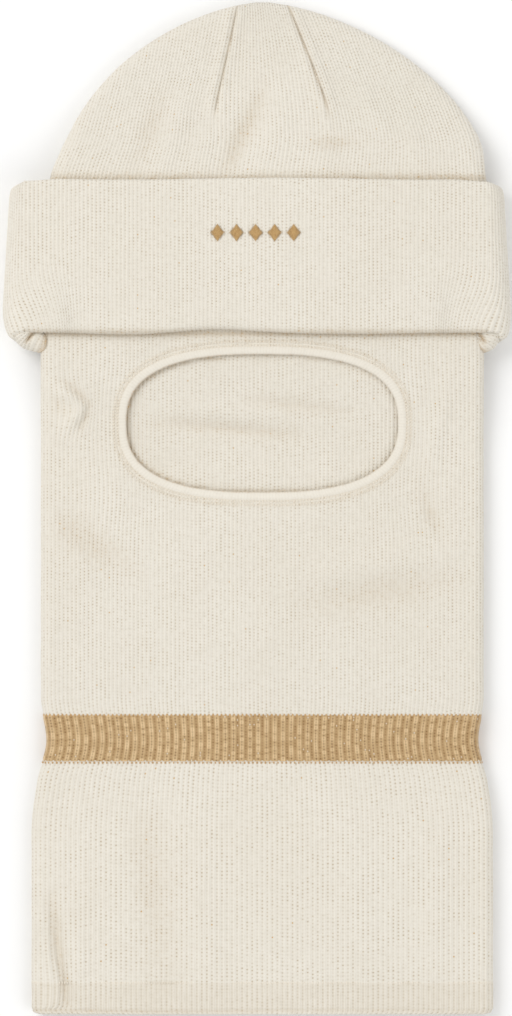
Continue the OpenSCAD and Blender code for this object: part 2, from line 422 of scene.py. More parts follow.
def point_normals(points: np.ndarray, quads: np.ndarray) -> np.ndarray:
    """Normals at the points, each the mean of the faces round it.

    Args:
        points: Places, shape (points, 3).
        quads: Corner numbers of the faces.

    Returns:
        Unit normals, shape (points, 3).
    """
    a, b, c, d = (points[quads[:, k]] for k in range(4))
    face = np.cross(c - a, d - b)
    total = np.zeros_like(points)
    for k in range(4):
        np.add.at(total, quads[:, k], face)
    length = np.linalg.norm(total, axis=1, keepdims=True)
    return total / np.maximum(length, 1e-12)


def rim_edges(quads: np.ndarray) -> np.ndarray:
    """The directed edges that belong to one face only.

    Args:
        quads: Corner numbers of the faces.

    Returns:
        Pairs of corner numbers.
    """
    edges = np.vstack([quads[:, [k, (k + 1) % 4]] for k in range(4)])
    edges = edges[edges[:, 0] != edges[:, 1]]
    base = int(quads.max()) + 1
    there = edges[:, 0].astype(np.int64) * base + edges[:, 1]
    back = edges[:, 1].astype(np.int64) * base + edges[:, 0]
    return edges[~np.isin(there, back)]


def build_mesh(
    name: str,
    points: np.ndarray,
    faces: Sequence[Sequence[int]],
    values: dict[str, np.ndarray],
    period: float = 0.0,
) -> bpy.types.Object:
    """Makes an object from points in mm.

    Args:
        name: The object's name.
        points: Places in mm.
        faces: Corner numbers of each face.
        values: Numbers to keep at the points, by name. wale and course also become a UV map.
        period: How many wales there are right round a closed ring of four-sided faces.

    Returns:
        The new object, smooth shaded.
    """
    mesh = bpy.data.meshes.new(name)
    clean = [list(dict.fromkeys(f)) for f in faces]
    mesh.from_pydata((points * MM).tolist(), [], [f for f in clean if len(f) > 2])
    for key, numbers in values.items():
        layer = mesh.attributes.new(key, "FLOAT", "POINT")
        layer.data.foreach_set("value", numbers.astype(np.float32))
    if "wale" in values:
        corners = np.zeros(len(mesh.loops), np.int32)
        mesh.loops.foreach_get("vertex_index", corners)
        uv = np.stack([values["wale"][corners], values["course"][corners]], axis=1)
        if period:
            across = uv[:, 0].reshape(-1, 4)
            across[across.max(axis=1, keepdims=True) - across > period / 2] += period
        mesh.uv_layers.new(name="knit").data.foreach_set("uv", uv.ravel().astype(np.float32))
    mesh.shade_smooth()
    mesh.update()
    obj = bpy.data.objects.new(name, mesh)
    bpy.context.scene.collection.objects.link(obj)
    return obj


def closed_sheet(
    name: str,
    outer: np.ndarray,
    quads: np.ndarray,
    values: dict[str, np.ndarray],
    thickness: float,
    period: float = 0.0,
) -> bpy.types.Object:
    """Closes a surface into a sheet: the surface, a second one under it and the edges.

    Args:
        name: The object's name.
        outer: Places of the surface, mm.
        quads: Corner numbers of its faces.
        values: Numbers to keep at its points, by name.
        thickness: The sheet's thickness, mm.
        period: How many wales there are right round, where it is a ring.

    Returns:
        The new object.
    """
    inner = outer - thickness * point_normals(outer, quads)
    count = len(outer)
    edges = rim_edges(quads)
    walls = np.column_stack([edges[:, 1], edges[:, 0], edges[:, 0] + count, edges[:, 1] + count])
    faces = np.vstack([quads, quads[:, ::-1] + count, walls])
    values["relief"][np.unique(edges)] = RIM_RELIEF
    doubled = {key: np.tile(numbers, 2) for key, numbers in values.items()}
    return build_mesh(name, np.vstack([outer, inner]), faces.tolist(), doubled, period)


def knit_sheet(name: str, grid: KnitGrid, thickness: float = LAYER) -> bpy.types.Object:
    """Makes a closed sheet of knit from its outer surface.

    Args:
        name: The object's name.
        grid: The outer surface.
        thickness: The sheet's thickness, mm.

    Returns:
        The new object.
    """
    flat = grid.points.reshape(-1, 3)
    _, first, same = np.unique(
        np.round(flat, 4), axis=0, return_index=True, return_inverse=True
    )
    quads = first[same.ravel()][faces_of(grid)]
    used, renumbered = np.unique(quads, return_inverse=True)
    quads = renumbered.reshape(quads.shape)
    values = {key: numbers.ravel()[used] for key, numbers in grid.values().items()}
    return closed_sheet(name, flat[used], quads, values, thickness)


def knit_ring(name: str, grid: KnitGrid, thickness: float) -> bpy.types.Object:
    """Makes a closed ring of knit from a grid whose last column lies on its first.

    Args:
        name: The object's name.
        grid: The outer surface.
        thickness: The ring's thickness, mm.

    Returns:
        The new object.
    """
    rows, columns = grid.wale.shape
    index = numbered(rows, columns - 1)
    quads = quads_of(np.hstack([index, index[:, :1]])).reshape(-1, 4)
    outer = grid.points[:, :-1].reshape(-1, 3)
    values = {key: numbers[:, :-1].flatten() for key, numbers in grid.values().items()}
    return closed_sheet(name, outer, quads, values, thickness, float(grid.wale.max()))


def knit_roll(name: str, grid: KnitGrid) -> bpy.types.Object:
    """Makes a solid of knit from a grid whose rows run right round it, with its two ends closed.

    Args:
        name: The object's name.
        grid: The surface, with round_rows set.

    Returns:
        The new object.
    """
    rows, columns = grid.wale.shape
    index = numbered(rows, columns)
    faces = faces_of(grid).tolist()
    half = rows // 2
    for column, turn in ((0, 1), (columns - 1, -1)):
        ring = index[:, column]
        for k in range(half):
            a, b = ring[(half - k) % rows], ring[(half - k - 1) % rows]
            c, d = ring[(half + k + 1) % rows], ring[(half + k) % rows]
            faces.append([int(v) for v in (a, b, c, d)][::-turn])
    values = {key: numbers.ravel() for key, numbers in grid.values().items()}
    return build_mesh(name, grid.points.reshape(-1, 3), faces, values)


# ------------------------------------------------------------------ node trees


class Wiring:
    """Adds nodes to a tree and joins them, for shader and geometry trees alike."""

    def __init__(self, tree: bpy.types.NodeTree) -> None:
        """Keeps the tree to add to."""
        self.tree = tree

    def put(self, value: object, into: bpy.types.NodeSocket) -> None:
        """Links a socket, or sets a plain value.

        Args:
            value: A socket, or a plain value.
            into: The input that takes it.
        """
        if isinstance(value, bpy.types.NodeSocket):
            self.tree.links.new(value, into)
        else:
            into.default_value = value

    def add(self, kind: str, inputs: dict | None = None, **settings: object) -> bpy.types.Node:
        """Adds a node.

        Args:
            kind: The node's type.
            inputs: Values or sockets for its inputs, by name or number.
            settings: The node's own settings.

        Returns:
            The new node.
        """
        node = self.tree.nodes.new(kind)
        for key, value in settings.items():
            setattr(node, key, value)
        for key, value in (inputs or {}).items():
            self.put(value, node.inputs[key])
        return node

    def math(self, operation: str, *values: object) -> bpy.types.NodeSocket:
        """The result of a Math node on up to three values."""
        node = self.add("ShaderNodeMath", dict(enumerate(values)), operation=operation)
        return node.outputs[0]

    def vector(self, operation: str, *values: object) -> bpy.types.Node:
        """A Vector Math node on up to two values."""
        return self.add("ShaderNodeVectorMath", dict(enumerate(values)), operation=operation)

    def step(self, value: object, start: object, end: object) -> bpy.types.NodeSocket:
        """A smooth step from 0 to 1.

        Args:
            value: The value to step.
            start: Where the step starts.
            end: Where it ends.

        Returns:
            The result's socket.
        """
        inputs = {"Value": value, "From Min": start, "From Max": end}
        node = self.add("ShaderNodeMapRange", inputs, interpolation_type="SMOOTHSTEP")
        return node.outputs["Result"]

    def blend(self, share: object, a: object, b: object) -> bpy.types.NodeSocket:
        """The colour a share of the way from one colour to another.

        Args:
            share: How far along the way, from 0 to 1.
            a: The first colour.
            b: The second colour.

        Returns:
            The result's socket.
        """
        node = self.add("ShaderNodeMix", data_type="RGBA")
        for number, value in ((0, share), (6, a), (7, b)):
            self.put(value, node.inputs[number])
        return node.outputs[2]

    def wave(self, value: object) -> bpy.types.NodeSocket:
        """A wave that is 0 at whole numbers and 1 half-way between them."""
        cosine = self.math("COSINE", self.math("MULTIPLY", value, 2 * math.pi))
        return self.math("MULTIPLY_ADD", cosine, -0.5, 0.5)


def new_tree(name: str, kind: str, inputs: Sequence[tuple], outputs: Sequence[tuple]) -> Wiring:
    """Starts a node group with named inputs and outputs.

    Args:
        name: The group's name.
        kind: The tree's type.
        inputs: Name, socket type and default value of each input.
        outputs: Name and socket type of each output.

    Returns:
        The wiring of the new group.
    """
    tree = bpy.data.node_groups.new(name, kind)
    for label, socket_type, default in inputs:
        socket = tree.interface.new_socket(name=label, in_out="INPUT", socket_type=socket_type)
        if default is not None:
            socket.default_value = default
    for label, socket_type in outputs:
        tree.interface.new_socket(name=label, in_out="OUTPUT", socket_type=socket_type)
    return Wiring(tree)


def run_tree(obj: bpy.types.Object, tree: bpy.types.NodeTree, values: dict) -> bpy.types.Object:
    """Runs a geometry tree on an object and keeps its result as the object's plain mesh.

    Args:
        obj: The object.
        tree: The geometry tree.
        values: Values for the tree's inputs, by name.

    Returns:
        The same object, with no modifier left.
    """
    modifier = obj.modifiers.new(tree.name, "NODES")
    modifier.node_group = tree
    for item in tree.interface.items_tree:
        if item.in_out == "INPUT" and item.name in values:
            modifier[item.identifier] = values[item.name]
    bpy.context.view_layer.update()
    graph = bpy.context.evaluated_depsgraph_get()
    mesh = bpy.data.meshes.new_from_object(
        obj.evaluated_get(graph), preserve_all_data_layers=True, depsgraph=graph
    )
    obj.modifiers.remove(modifier)
    old = obj.data
    obj.data = mesh
    mesh.name = obj.name
    if old.users == 0:
        bpy.data.meshes.remove(old)
    return obj


def relief_tree() -> bpy.types.NodeTree:
    """Builds the tree that raises ribs along the wales and makes the knit a little uneven.

    Returns:
        The geometry tree.
    """
    w = new_tree(
        "Knit relief",
        "GeometryNodeTree",
        [
            ("Geometry", "NodeSocketGeometry", None),
            ("Rib Depth", "NodeSocketFloat", 0.25 * MM),
            ("Drift Depth", "NodeSocketFloat", 0.3 * MM),
            ("Drift Size", "NodeSocketFloat", 12 * MM),
            ("Seed", "NodeSocketFloat", 1.0),
            ("Material", "NodeSocketMaterial", None),
        ],
        [("Geometry", "NodeSocketGeometry")],
    )
    given = w.add("NodeGroupInput").outputs
    wale = w.add("GeometryNodeInputNamedAttribute", {"Name": "wale"}, data_type="FLOAT")
    relief = w.add("GeometryNodeInputNamedAttribute", {"Name": "relief"}, data_type="FLOAT")
    rib = w.math("MULTIPLY", w.wave(wale.outputs["Attribute"]), given["Rib Depth"])
    place = w.vector("SCALE", w.add("GeometryNodeInputPosition").outputs[0])
    w.put(w.math("DIVIDE", 1.0, given["Drift Size"]), place.inputs["Scale"])
    noise = w.add(
        "ShaderNodeTexNoise",
        {"Vector": place.outputs[0], "W": given["Seed"], "Scale": 1.0, "Detail": 2.0},
        noise_dimensions="4D",
    )
    drift = w.math("SUBTRACT", noise.outputs[0], 0.5)
    rise = w.math("MULTIPLY_ADD", drift, given["Drift Depth"], rib)
    normal = w.add("GeometryNodeInputNormal").outputs[0]
    offset = w.vector("SCALE", normal)
    w.put(w.math("MULTIPLY", rise, relief.outputs["Attribute"]), offset.inputs["Scale"])
    moved = w.add(
        "GeometryNodeSetPosition", {"Geometry": given["Geometry"], "Offset": offset.outputs[0]}
    )
    real = w.add("GeometryNodeRealizeInstances", {"Geometry": moved.outputs[0]})
    dressed = w.add(
        "GeometryNodeSetMaterial",
        {"Geometry": real.outputs[0], "Material": given["Material"]},
    )
    w.add("NodeGroupOutput", {"Geometry": dressed.outputs[0]})
    return w.tree


def stitch_tree() -> bpy.types.NodeTree:
    """Builds the tree that lays one thread after another along a line.

    The line's points have the attributes up, which way is outwards, and reach, the share of the
    full length that a thread has there.

    Returns:
        The geometry tree.
    """
    w = new_tree(
        "Row of stitches",
        "GeometryNodeTree",
        [
            ("Geometry", "NodeSocketGeometry", None),
            ("Pitch", "NodeSocketFloat", 1.5 * MM),
            ("Length", "NodeSocketFloat", 1.5 * MM),
            ("Width", "NodeSocketFloat", 0.6 * MM),
            ("Height", "NodeSocketFloat", 0.4 * MM),
            ("Turn", "NodeSocketFloat", 0.0),
            ("Unevenness", "NodeSocketFloat", 0.12),
            ("Seed", "NodeSocketInt", 1),
            ("Material", "NodeSocketMaterial", None),
        ],
        [("Geometry", "NodeSocketGeometry")],
    )
    given = w.add("NodeGroupInput").outputs
    line = w.add("GeometryNodeMeshToCurve", {"Mesh": given["Geometry"]})
    points = w.add(
        "GeometryNodeResampleCurve",
        {"Curve": line.outputs[0], "Length": given["Pitch"]},
        mode="LENGTH",
    )
    thread = w.add("GeometryNodeMeshUVSphere", {"Segments": 8, "Rings": 5, "Radius": 0.5})
    tangent = w.add("GeometryNodeInputTangent").outputs[0]
    up = w.add("GeometryNodeInputNamedAttribute", {"Name": "up"}, data_type="FLOAT_VECTOR")
    reach = w.add("GeometryNodeInputNamedAttribute", {"Name": "reach"}, data_type="FLOAT")
    along = w.add("FunctionNodeAlignRotationToVector", {"Vector": tangent}, axis="X")
    upright = w.add(
        "FunctionNodeAlignRotationToVector",
        {"Rotation": along.outputs[0], "Vector": up.outputs["Attribute"]},
        axis="Z",
        pivot_axis="X",
    )
    jitter = w.add("FunctionNodeRandomValue", {"Seed": given["Seed"]}, data_type="FLOAT")
    least = w.math("SUBTRACT", 1.0, given["Unevenness"])
    most = w.math("ADD", 1.0, given["Unevenness"])
    w.put(least, jitter.inputs[2])
    w.put(most, jitter.inputs[3])
    size = jitter.outputs[1]
    turn = w.add("FunctionNodeAxisAngleToRotation", {"Axis": (0, 0, 1), "Angle": given["Turn"]})
    turned = w.add(
        "FunctionNodeRotateRotation",
        {"Rotation": upright.outputs[0], "Rotate By": turn.outputs[0]},
        rotation_space="LOCAL",
    )
    length = w.math("MULTIPLY", given["Length"], reach.outputs["Attribute"])
    scale = w.add(
        "ShaderNodeCombineXYZ",
        {
            "X": w.math("MULTIPLY", length, size),
            "Y": w.math("MULTIPLY", given["Width"], size),
            "Z": given["Height"],
        },
    )
    laid = w.add(
        "GeometryNodeInstanceOnPoints",
        {
            "Points": points.outputs[0],
            "Instance": thread.outputs[0],
            "Rotation": turned.outputs[0],
            "Scale": scale.outputs[0],
        },
    )
    real = w.add("GeometryNodeRealizeInstances", {"Geometry": laid.outputs[0]})
    smooth = w.add("GeometryNodeSetShadeSmooth", {"Geometry": real.outputs[0]})
    dressed = w.add(
        "GeometryNodeSetMaterial",
        {"Geometry": smooth.outputs[0], "Material": given["Material"]},
    )
    w.add("NodeGroupOutput", {"Geometry": dressed.outputs[0]})
    return w.tree


def loops_group() -> bpy.types.NodeTree:
    """Builds the shader group that draws loops from the counts of wales and courses.

    Returns:
        The shader group.
    """
    w = new_tree(
        "Knit loops",
        "ShaderNodeTree",
        [
            ("Wale", "NodeSocketFloat", 0.0),
            ("Course", "NodeSocketFloat", 0.0),
            ("Groove Sharpness", "NodeSocketFloat", 2.0),
            ("Hole Size", "NodeSocketFloat", 0.5),
            ("Slant", "NodeSocketFloat", 1.2),
        ],
        [
            ("Groove", "NodeSocketFloat"),
            ("Hole", "NodeSocketFloat"),
            ("Height", "NodeSocketFloat"),
            ("Random", "NodeSocketFloat"),
            ("Line", "NodeSocketFloat"),
            ("Spot", "NodeSocketFloat"),
        ],
    )
    given = w.add("NodeGroupInput").outputs
    rib = w.wave(given["Wale"])
    groove = w.math("POWER", w.math("SUBTRACT", 1.0, rib), given["Groove Sharpness"])
    row = w.add("ShaderNodeTexWhiteNoise", noise_dimensions="1D")
    w.put(w.math("ROUND", given["Wale"]), row.inputs["W"])
    phase = w.math("ADD", row.outputs["Value"], given["Course"])
    link = w.math("SUBTRACT", 1.0, w.wave(phase))
    reach = w.math("SUBTRACT", 1.0, given["Hole Size"])
    dot = w.step(link, reach, 1.0)
    depth = w.math("SUBTRACT", 1.0, rib)
    near = w.step(depth, 0.62, 0.95)
    spot = w.math("MULTIPLY", dot, w.step(depth, 0.8, 0.97))
    line = w.step(rib, 0.84, 1.0)
    corners = {"X": w.math("ROUND", given["Wale"]), "Y": w.math("ROUND", phase)}
    cell = w.add("ShaderNodeCombineXYZ", corners)
    random = w.add(
        "ShaderNodeTexWhiteNoise", {"Vector": cell.outputs[0]}, noise_dimensions="3D"
    ).outputs["Value"]
    strength = w.math("MULTIPLY_ADD", random, 0.6, 0.4)
    hole = w.math("MULTIPLY", w.math("MULTIPLY", dot, near), strength)
    away = w.math("PINGPONG", given["Wale"], 0.5)
    slanted = w.math("MULTIPLY_ADD", away, given["Slant"], given["Course"])
    loop = w.math("MULTIPLY", w.wave(slanted), rib)
    height = w.math("MULTIPLY_ADD", rib, 0.45, w.math("MULTIPLY", loop, 0.3))
    height = w.math("SUBTRACT", height, w.math("MULTIPLY", hole, 0.35))
    w.add(
        "NodeGroupOutput",
        {
            "Groove": groove,
            "Hole": hole,
            "Height": height,
            "Random": random,
            "Line": line,
            "Spot": spot,
        },
    )
    return w.tree


def fuzz_group() -> bpy.types.NodeTree:
    """Builds the shader group for yarn fuzz and the slow drift of tone over a piece.

    Returns:
        The shader group.
    """
    w = new_tree(
        "Yarn fuzz",
        "ShaderNodeTree",
        [
            ("Fuzz Size", "NodeSocketFloat", 0.45 * MM),
            ("Drift Size", "NodeSocketFloat", 45 * MM),
            ("Patch Size", "NodeSocketFloat", 9 * MM),
        ],
        [
            ("Fuzz", "NodeSocketFloat"),
            ("Drift", "NodeSocketFloat"),
            ("Patch", "NodeSocketFloat"),
        ],
    )
    given = w.add("NodeGroupInput").outputs
    place = w.add("ShaderNodeTexCoord").outputs["Object"]
    results = {}
    for label, detail in (("Fuzz", 3.0), ("Drift", 2.0), ("Patch", 3.0)):
        scale = w.math("DIVIDE", 1.0, given[f"{label} Size"])
        inputs = {"Vector": place, "Scale": scale, "Detail": detail}
        results[label] = w.add("ShaderNodeTexNoise", inputs).outputs[0]
    results["Patch"] = w.step(results["Patch"], 0.36, 0.62)
    w.add("NodeGroupOutput", results)
    return w.tree


# ------------------------------------------------------------------ finishes

Colour = tuple[float, float, float]


def linear(red: float, green: float, blue: float) -> tuple[float, float, float, float]:
    """A display colour as the linear colour that materials take.

    Args:
        red: Its red, from 0 to 255.
        green: Its green, from 0 to 255.
        blue: Its blue, from 0 to 255.

    Returns:
        The linear red, green, blue and alpha.
    """
    parts = [c / 255 for c in (red, green, blue)]
    steps = [c / 12.92 if c <= 0.04045 else ((c + 0.055) / 1.055) ** 2.4 for c in parts]
    return (*steps, 1.0)


@dataclass(frozen=True)
class KnitFinish:
    """A knitted yarn: its colours, the painted shade in its grooves, holes and crevices, and its
    surface.
    """

    name: str
    slot: str
    face: Colour
    shade: Colour
    pit_shade: Colour
    speck: Colour
    groove: float = 0.45
    hole: float = 0.8
    hole_size: float = 0.5
    line: float = 0.3
    broad: float = 0.0
    uneven: float = 0.16
    patchy: float = 0.7
    sharpness: float = 2.5
    slant: float = 1.2
    speck_share: float = 0.004
    shade_patch_share: float = 0.3
    fuzz: float = 0.06
    drift: float = 0.1
    roughness: float = 0.95
    sheen: float = 0.25
    relief: float = 0.35 * MM
    wale_scale: float = 1.0

    def material(self, groups: "Groups") -> bpy.types.Material:
        """Builds the yarn's material.

        Args:
            groups: The shared shader groups.

        Returns:
            The material.
        """
        material = bpy.data.materials.new(self.name)
        material.use_nodes = True
        w = Wiring(material.node_tree)
        w.tree.nodes.clear()
        uv = w.add("ShaderNodeUVMap", uv_map="knit").outputs[0]
        count = w.add("ShaderNodeSeparateXYZ", {0: uv}).outputs
        loops = w.add("ShaderNodeGroup", node_tree=groups.loops)
        values = {
            "Wale": w.math("MULTIPLY", count[0], self.wale_scale),
            "Course": count[1],
            "Groove Sharpness": self.sharpness,
            "Hole Size": self.hole_size,
            "Slant": self.slant,
        }
        for label, value in values.items():
            w.put(value, loops.inputs[label])
        noise = w.add("ShaderNodeGroup", node_tree=groups.fuzz)
        face, shade = linear(*self.face), linear(*self.shade)
        drift = w.step(noise.outputs["Drift"], 0.35, 0.65)
        colour = w.blend(w.math("MULTIPLY", drift, self.drift), face, shade)
        fuzz = w.step(noise.outputs["Fuzz"], 0.3, 0.75)
        colour = w.blend(w.math("MULTIPLY", fuzz, self.fuzz * 2), colour, shade)
        # Painted shade in the band's recessed ribs.
        broad = w.step(w.wave(count[0]), 0.68, 0.32)
        colour = w.blend(w.math("MULTIPLY", broad, self.broad), colour, shade)
        colour = w.blend(w.math("MULTIPLY", loops.outputs["Random"], self.uneven), colour, shade)
        # Painted shade in the grooves between ribs, and in a fine groove along each rib's crown.
        groove = w.math("MULTIPLY", loops.outputs["Groove"], self.groove)
        colour = w.blend(groove, colour, shade)
        plain = w.math("MULTIPLY_ADD", noise.outputs["Patch"], -0.8, 1.2)
        line = w.math("MULTIPLY", w.math("MULTIPLY", loops.outputs["Line"], self.line), plain)
        colour = w.blend(line, colour, shade)
        clear = w.math("MULTIPLY_ADD", noise.outputs["Patch"], self.patchy, 1 - self.patchy)
        # Painted shade in the holes between loops.
        hole = w.math("MULTIPLY", loops.outputs["Hole"], self.hole)
        hole = w.math("MULTIPLY", hole, clear)
        colour = w.blend(hole, colour, linear(*self.pit_shade))
        rare = w.math("GREATER_THAN", loops.outputs["Random"], 1 - self.speck_share)
        speck = w.math("MULTIPLY", rare, w.step(loops.outputs["Spot"], 0.1, 0.6))
        colour = w.blend(speck, colour, linear(*self.speck))
        # Painted shade in crevices, valleys and under edges: a darkening towards the pit shade
        # colour, partly laid as ragged warm patches in the speck colour.
        painted_shade = w.add("ShaderNodeAttribute", attribute_name="painted_shade").outputs["Fac"]
        colour = w.blend(w.math("MULTIPLY", painted_shade, 0.55), colour, linear(*self.pit_shade))
        ragged = w.math("ADD", w.math("MULTIPLY", loops.outputs["Random"], 0.5), fuzz)
        shade_patch = w.math("MULTIPLY", painted_shade, w.step(ragged, 1.35 - self.shade_patch_share, 1.25))
        colour = w.blend(shade_patch, colour, linear(*self.speck))
        height = w.math("MULTIPLY_ADD", noise.outputs["Fuzz"], 0.25, loops.outputs["Height"])
        bump = w.add(
            "ShaderNodeBump", {"Strength": 1.0, "Distance": self.relief, "Height": height}
        )
        shader = w.add(
            "ShaderNodeBsdfPrincipled",
            {
                "Base Color": colour,
                "Roughness": self.roughness,
                "Specular IOR Level": 0.15,
                "Sheen Weight": self.sheen,
                "Sheen Roughness": 0.6,
                "Normal": bump.outputs[0],
            },
        )
        w.add("ShaderNodeOutputMaterial", {"Surface": shader.outputs[0]})
        return material


@dataclass(frozen=True)
class ThreadFinish:
    """A smooth sewing or embroidery thread, or a woven label."""

    name: str
    slot: str
    face: Colour
    shade: Colour
    roughness: float
    sheen: float
    grain: float = 0.25 * MM
    relief: float = 0.1 * MM

    def material(self, groups: "Groups") -> bpy.types.Material:
        """Builds the thread's material.

        Args:
            groups: The shared shader groups.

        Returns:
            The material.
        """
        material = bpy.data.materials.new(self.name)
        material.use_nodes = True
        w = Wiring(material.node_tree)
        w.tree.nodes.clear()
        noise = w.add("ShaderNodeGroup", {"Fuzz Size": self.grain}, node_tree=groups.fuzz)
        fuzz = w.step(noise.outputs["Fuzz"], 0.25, 0.75)
        colour = w.blend(fuzz, linear(*self.face), linear(*self.shade))
        rough = w.math("MULTIPLY_ADD", noise.outputs["Fuzz"], 0.2, self.roughness - 0.1)
        bump = w.add(
            "ShaderNodeBump",
            {"Strength": 0.6, "Distance": self.relief, "Height": noise.outputs["Fuzz"]},
        )
        shader = w.add(
            "ShaderNodeBsdfPrincipled",
            {
                "Base Color": colour,
                "Roughness": rough,
                "Specular IOR Level": 0.3,
                "Sheen Weight": self.sheen,
                "Normal": bump.outputs[0],
            },
        )
        w.add("ShaderNodeOutputMaterial", {"Surface": shader.outputs[0]})
        return material


@dataclass(frozen=True)
class Groups:
    """The node groups that finishes and pieces share."""

    loops: bpy.types.NodeTree
    fuzz: bpy.types.NodeTree
    relief: bpy.types.NodeTree
    stitches: bpy.types.NodeTree


CREAM = KnitFinish(
    "Cream knit", "cream_knit", (234, 229, 218), (211, 202, 184), (178, 156, 122), (202, 160, 94),
    groove=0.36, fuzz=0.1,
)
BINDING = KnitFinish(
    "Binding knit", "binding_knit", (232, 226, 214), (214, 205, 188), (186, 166, 134),
    (205, 150, 90), groove=0.18, hole=0.0, line=0.0, uneven=0.12, speck_share=0.0, drift=0.08,
    relief=0.15 * MM,
)
TAN = KnitFinish(
    "Tan rib", "tan_rib", (234, 206, 163), (170, 136, 90), (108, 76, 36), (236, 228, 212),
    groove=0.25, hole=1.0, hole_size=0.62, line=0.1, broad=0.66, uneven=0.62, patchy=0.25,
    speck_share=0.035, sharpness=1.6, slant=2.4, fuzz=0.14, wale_scale=2.0,
)
HEM = KnitFinish(
    "Hem knit", "cream_knit", (232, 226, 214), (208, 198, 179), (184, 162, 128), (202, 160, 94),
    groove=0.6, hole=0.5, line=0.45, speck_share=0.001, fuzz=0.1,
)
# The cream knit with more of its painted shade laid as warm patches, for the curled corners.
CORNER = replace(CREAM, name="Corner knit", shade_patch_share=0.85)
TAN_THREAD = ThreadFinish(
    "Tan satin thread", "tan_thread", (216, 182, 126), (158, 120, 70), 0.45, 0.2
)
CREAM_THREAD = ThreadFinish(
    "Cream thread", "cream_thread", (238, 232, 220), (216, 204, 184), 0.85, 0.3
)
TAN_LOOP = ThreadFinish("Tan loop yarn", "tan_rib", (208, 172, 122), (170, 132, 84), 0.9, 0.3)
SATIN = ThreadFinish(
    "Label satin", "label_satin", (246, 244, 240), (228, 226, 220), 0.4, 0.1, grain=0.15 * MM
)


# ------------------------------------------------------------------ the workshop


class Workshop:
    """Holds the shared groups and finishes, and turns grids into finished pieces."""

    def __init__(self) -> None:
        """Builds the node groups."""
        self.groups = Groups(loops_group(), fuzz_group(), relief_tree(), stitch_tree())
        self.materials: dict[str, bpy.types.Material] = {}

    def material(self, finish: KnitFinish | ThreadFinish) -> bpy.types.Material:
        """The material of a finish, made once.

        Args:
            finish: The finish.

        Returns:
            Its material.
        """
        if finish.name not in self.materials:
            self.materials[finish.name] = finish.material(self.groups)
        return self.materials[finish.name]

    def knit(
        self,
        obj: bpy.types.Object,
        finish: KnitFinish,
        rib: float = 0.22,
        drift: float = 0.5,
        size: float = 14.0,
        seed: float = 1.0,
    ) -> bpy.types.Object:
        """Raises the ribs of a piece and dresses it.

        Args:
            obj: The piece, with its wale and relief attributes.
            finish: Its yarn.
            rib: Height of the ribs, mm.
            drift: Depth of its unevenness, mm.
            size: Size of its unevenness, mm.
            seed: Which unevenness it has.

        Returns:
            The piece.
        """
        values = {
            "Rib Depth": rib * MM,
            "Drift Depth": drift * MM,
            "Drift Size": size * MM,
            "Seed": seed,
            "Material": self.material(finish),
        }
        run_tree(obj, self.groups.relief, values)
        obj.data.set_sharp_from_angle(angle=SHARP)
        return obj

    def stitches(
        self,
        name: str,
        lines: Sequence[np.ndarray],
        ups: Sequence[np.ndarray],
        finish: ThreadFinish,
        closed: bool = False,
        reaches: Sequence[np.ndarray] | None = None,
        **sizes: float,
    ) -> bpy.types.Object:
        """Lays rows of stitches along lines.

        Args:
            name: The piece's name.
            lines: The points of each line, mm.
            ups: Which way is outwards at each point.
            finish: The thread.
            closed: True when each line returns to its start.
            reaches: The share of the full length at each point, or None for all of it.
            sizes: Pitch, Length, Width and Height in mm, Turn in degrees, and other inputs.

        Returns:
            The piece.
        """
        points = np.vstack(lines)
        mesh = bpy.data.meshes.new(name)
        edges, start = [], 0
        for line in lines:
            count = len(line)
            last = count if closed else count - 1
            edges += [(start + k, start + (k + 1) % count) for k in range(last)]
            start += count
        mesh.from_pydata((points * MM).tolist(), edges, [])
        up = mesh.attributes.new("up", "FLOAT_VECTOR", "POINT")
        up.data.foreach_set("vector", np.vstack(ups).ravel().astype(np.float32))
        reach = mesh.attributes.new("reach", "FLOAT", "POINT")
        shares = np.ones(len(points)) if reaches is None else np.concatenate(reaches)
        reach.data.foreach_set("value", shares.astype(np.float32))
        obj = bpy.data.objects.new(name, mesh)
        bpy.context.scene.collection.objects.link(obj)
        values: dict[str, object] = {"Material": self.material(finish)}
        for key, value in sizes.items():
            if key in ("Pitch", "Length", "Width", "Height"):
                values[key] = value * MM
            elif key == "Turn":
                values[key] = math.radians(value)
            else:
                values[key] = value
        run_tree(obj, self.groups.stitches, values)
        return obj


def report(obj: bpy.types.Object) -> None:
    """Logs a finished piece."""
    triangles = sum(len(p.vertices) - 2 for p in obj.data.polygons)
    log.info("%s: %d triangles", obj.name, triangles)


def round_section(
    lay: Lay, y: np.ndarray, turn: np.ndarray, half: np.ndarray, extra: float = 0.0
) -> np.ndarray:
    """Points on the tube's round body.

    Args:
        lay: The lay of the garment.
        y: Places along, mm.
        turn: How far round, from -1 at the left edge over the front to 1 at the right, to 3.
        half: Half the width at each place, mm.
        extra: How far outside the body's surface the points are, mm.

    Returns:
        The points, mm.
    """
    back = turn > 1
    across = np.where(back, 2 - turn, turn)
    flat = half - lay.h_tube
    bend = lay.h_tube + extra
    length = flat + lay.h_tube * math.pi / 2
    p = across * length
    over = np.clip(np.abs(p) - flat, 0, None) / lay.h_tube
    x = lay.shift + np.sign(p) * (np.minimum(np.abs(p), flat) + bend * np.sin(over))
    z = lay.tube_mid(y) + np.where(back, -1, 1) * bend * np.cos(over)
    return np.stack([x, np.broadcast_to(y, x.shape), z], axis=-1)


def flatness(lay: Lay, points: np.ndarray, half: np.ndarray) -> np.ndarray:
    """1 on the flat of the body, fading to 0 at its rounded sides."""
    inside = half - np.abs(points[..., 0] - lay.shift)
    return ease((inside - 1.0) / (2.2 * lay.h_tube))


# ------------------------------------------------------------------ the pieces


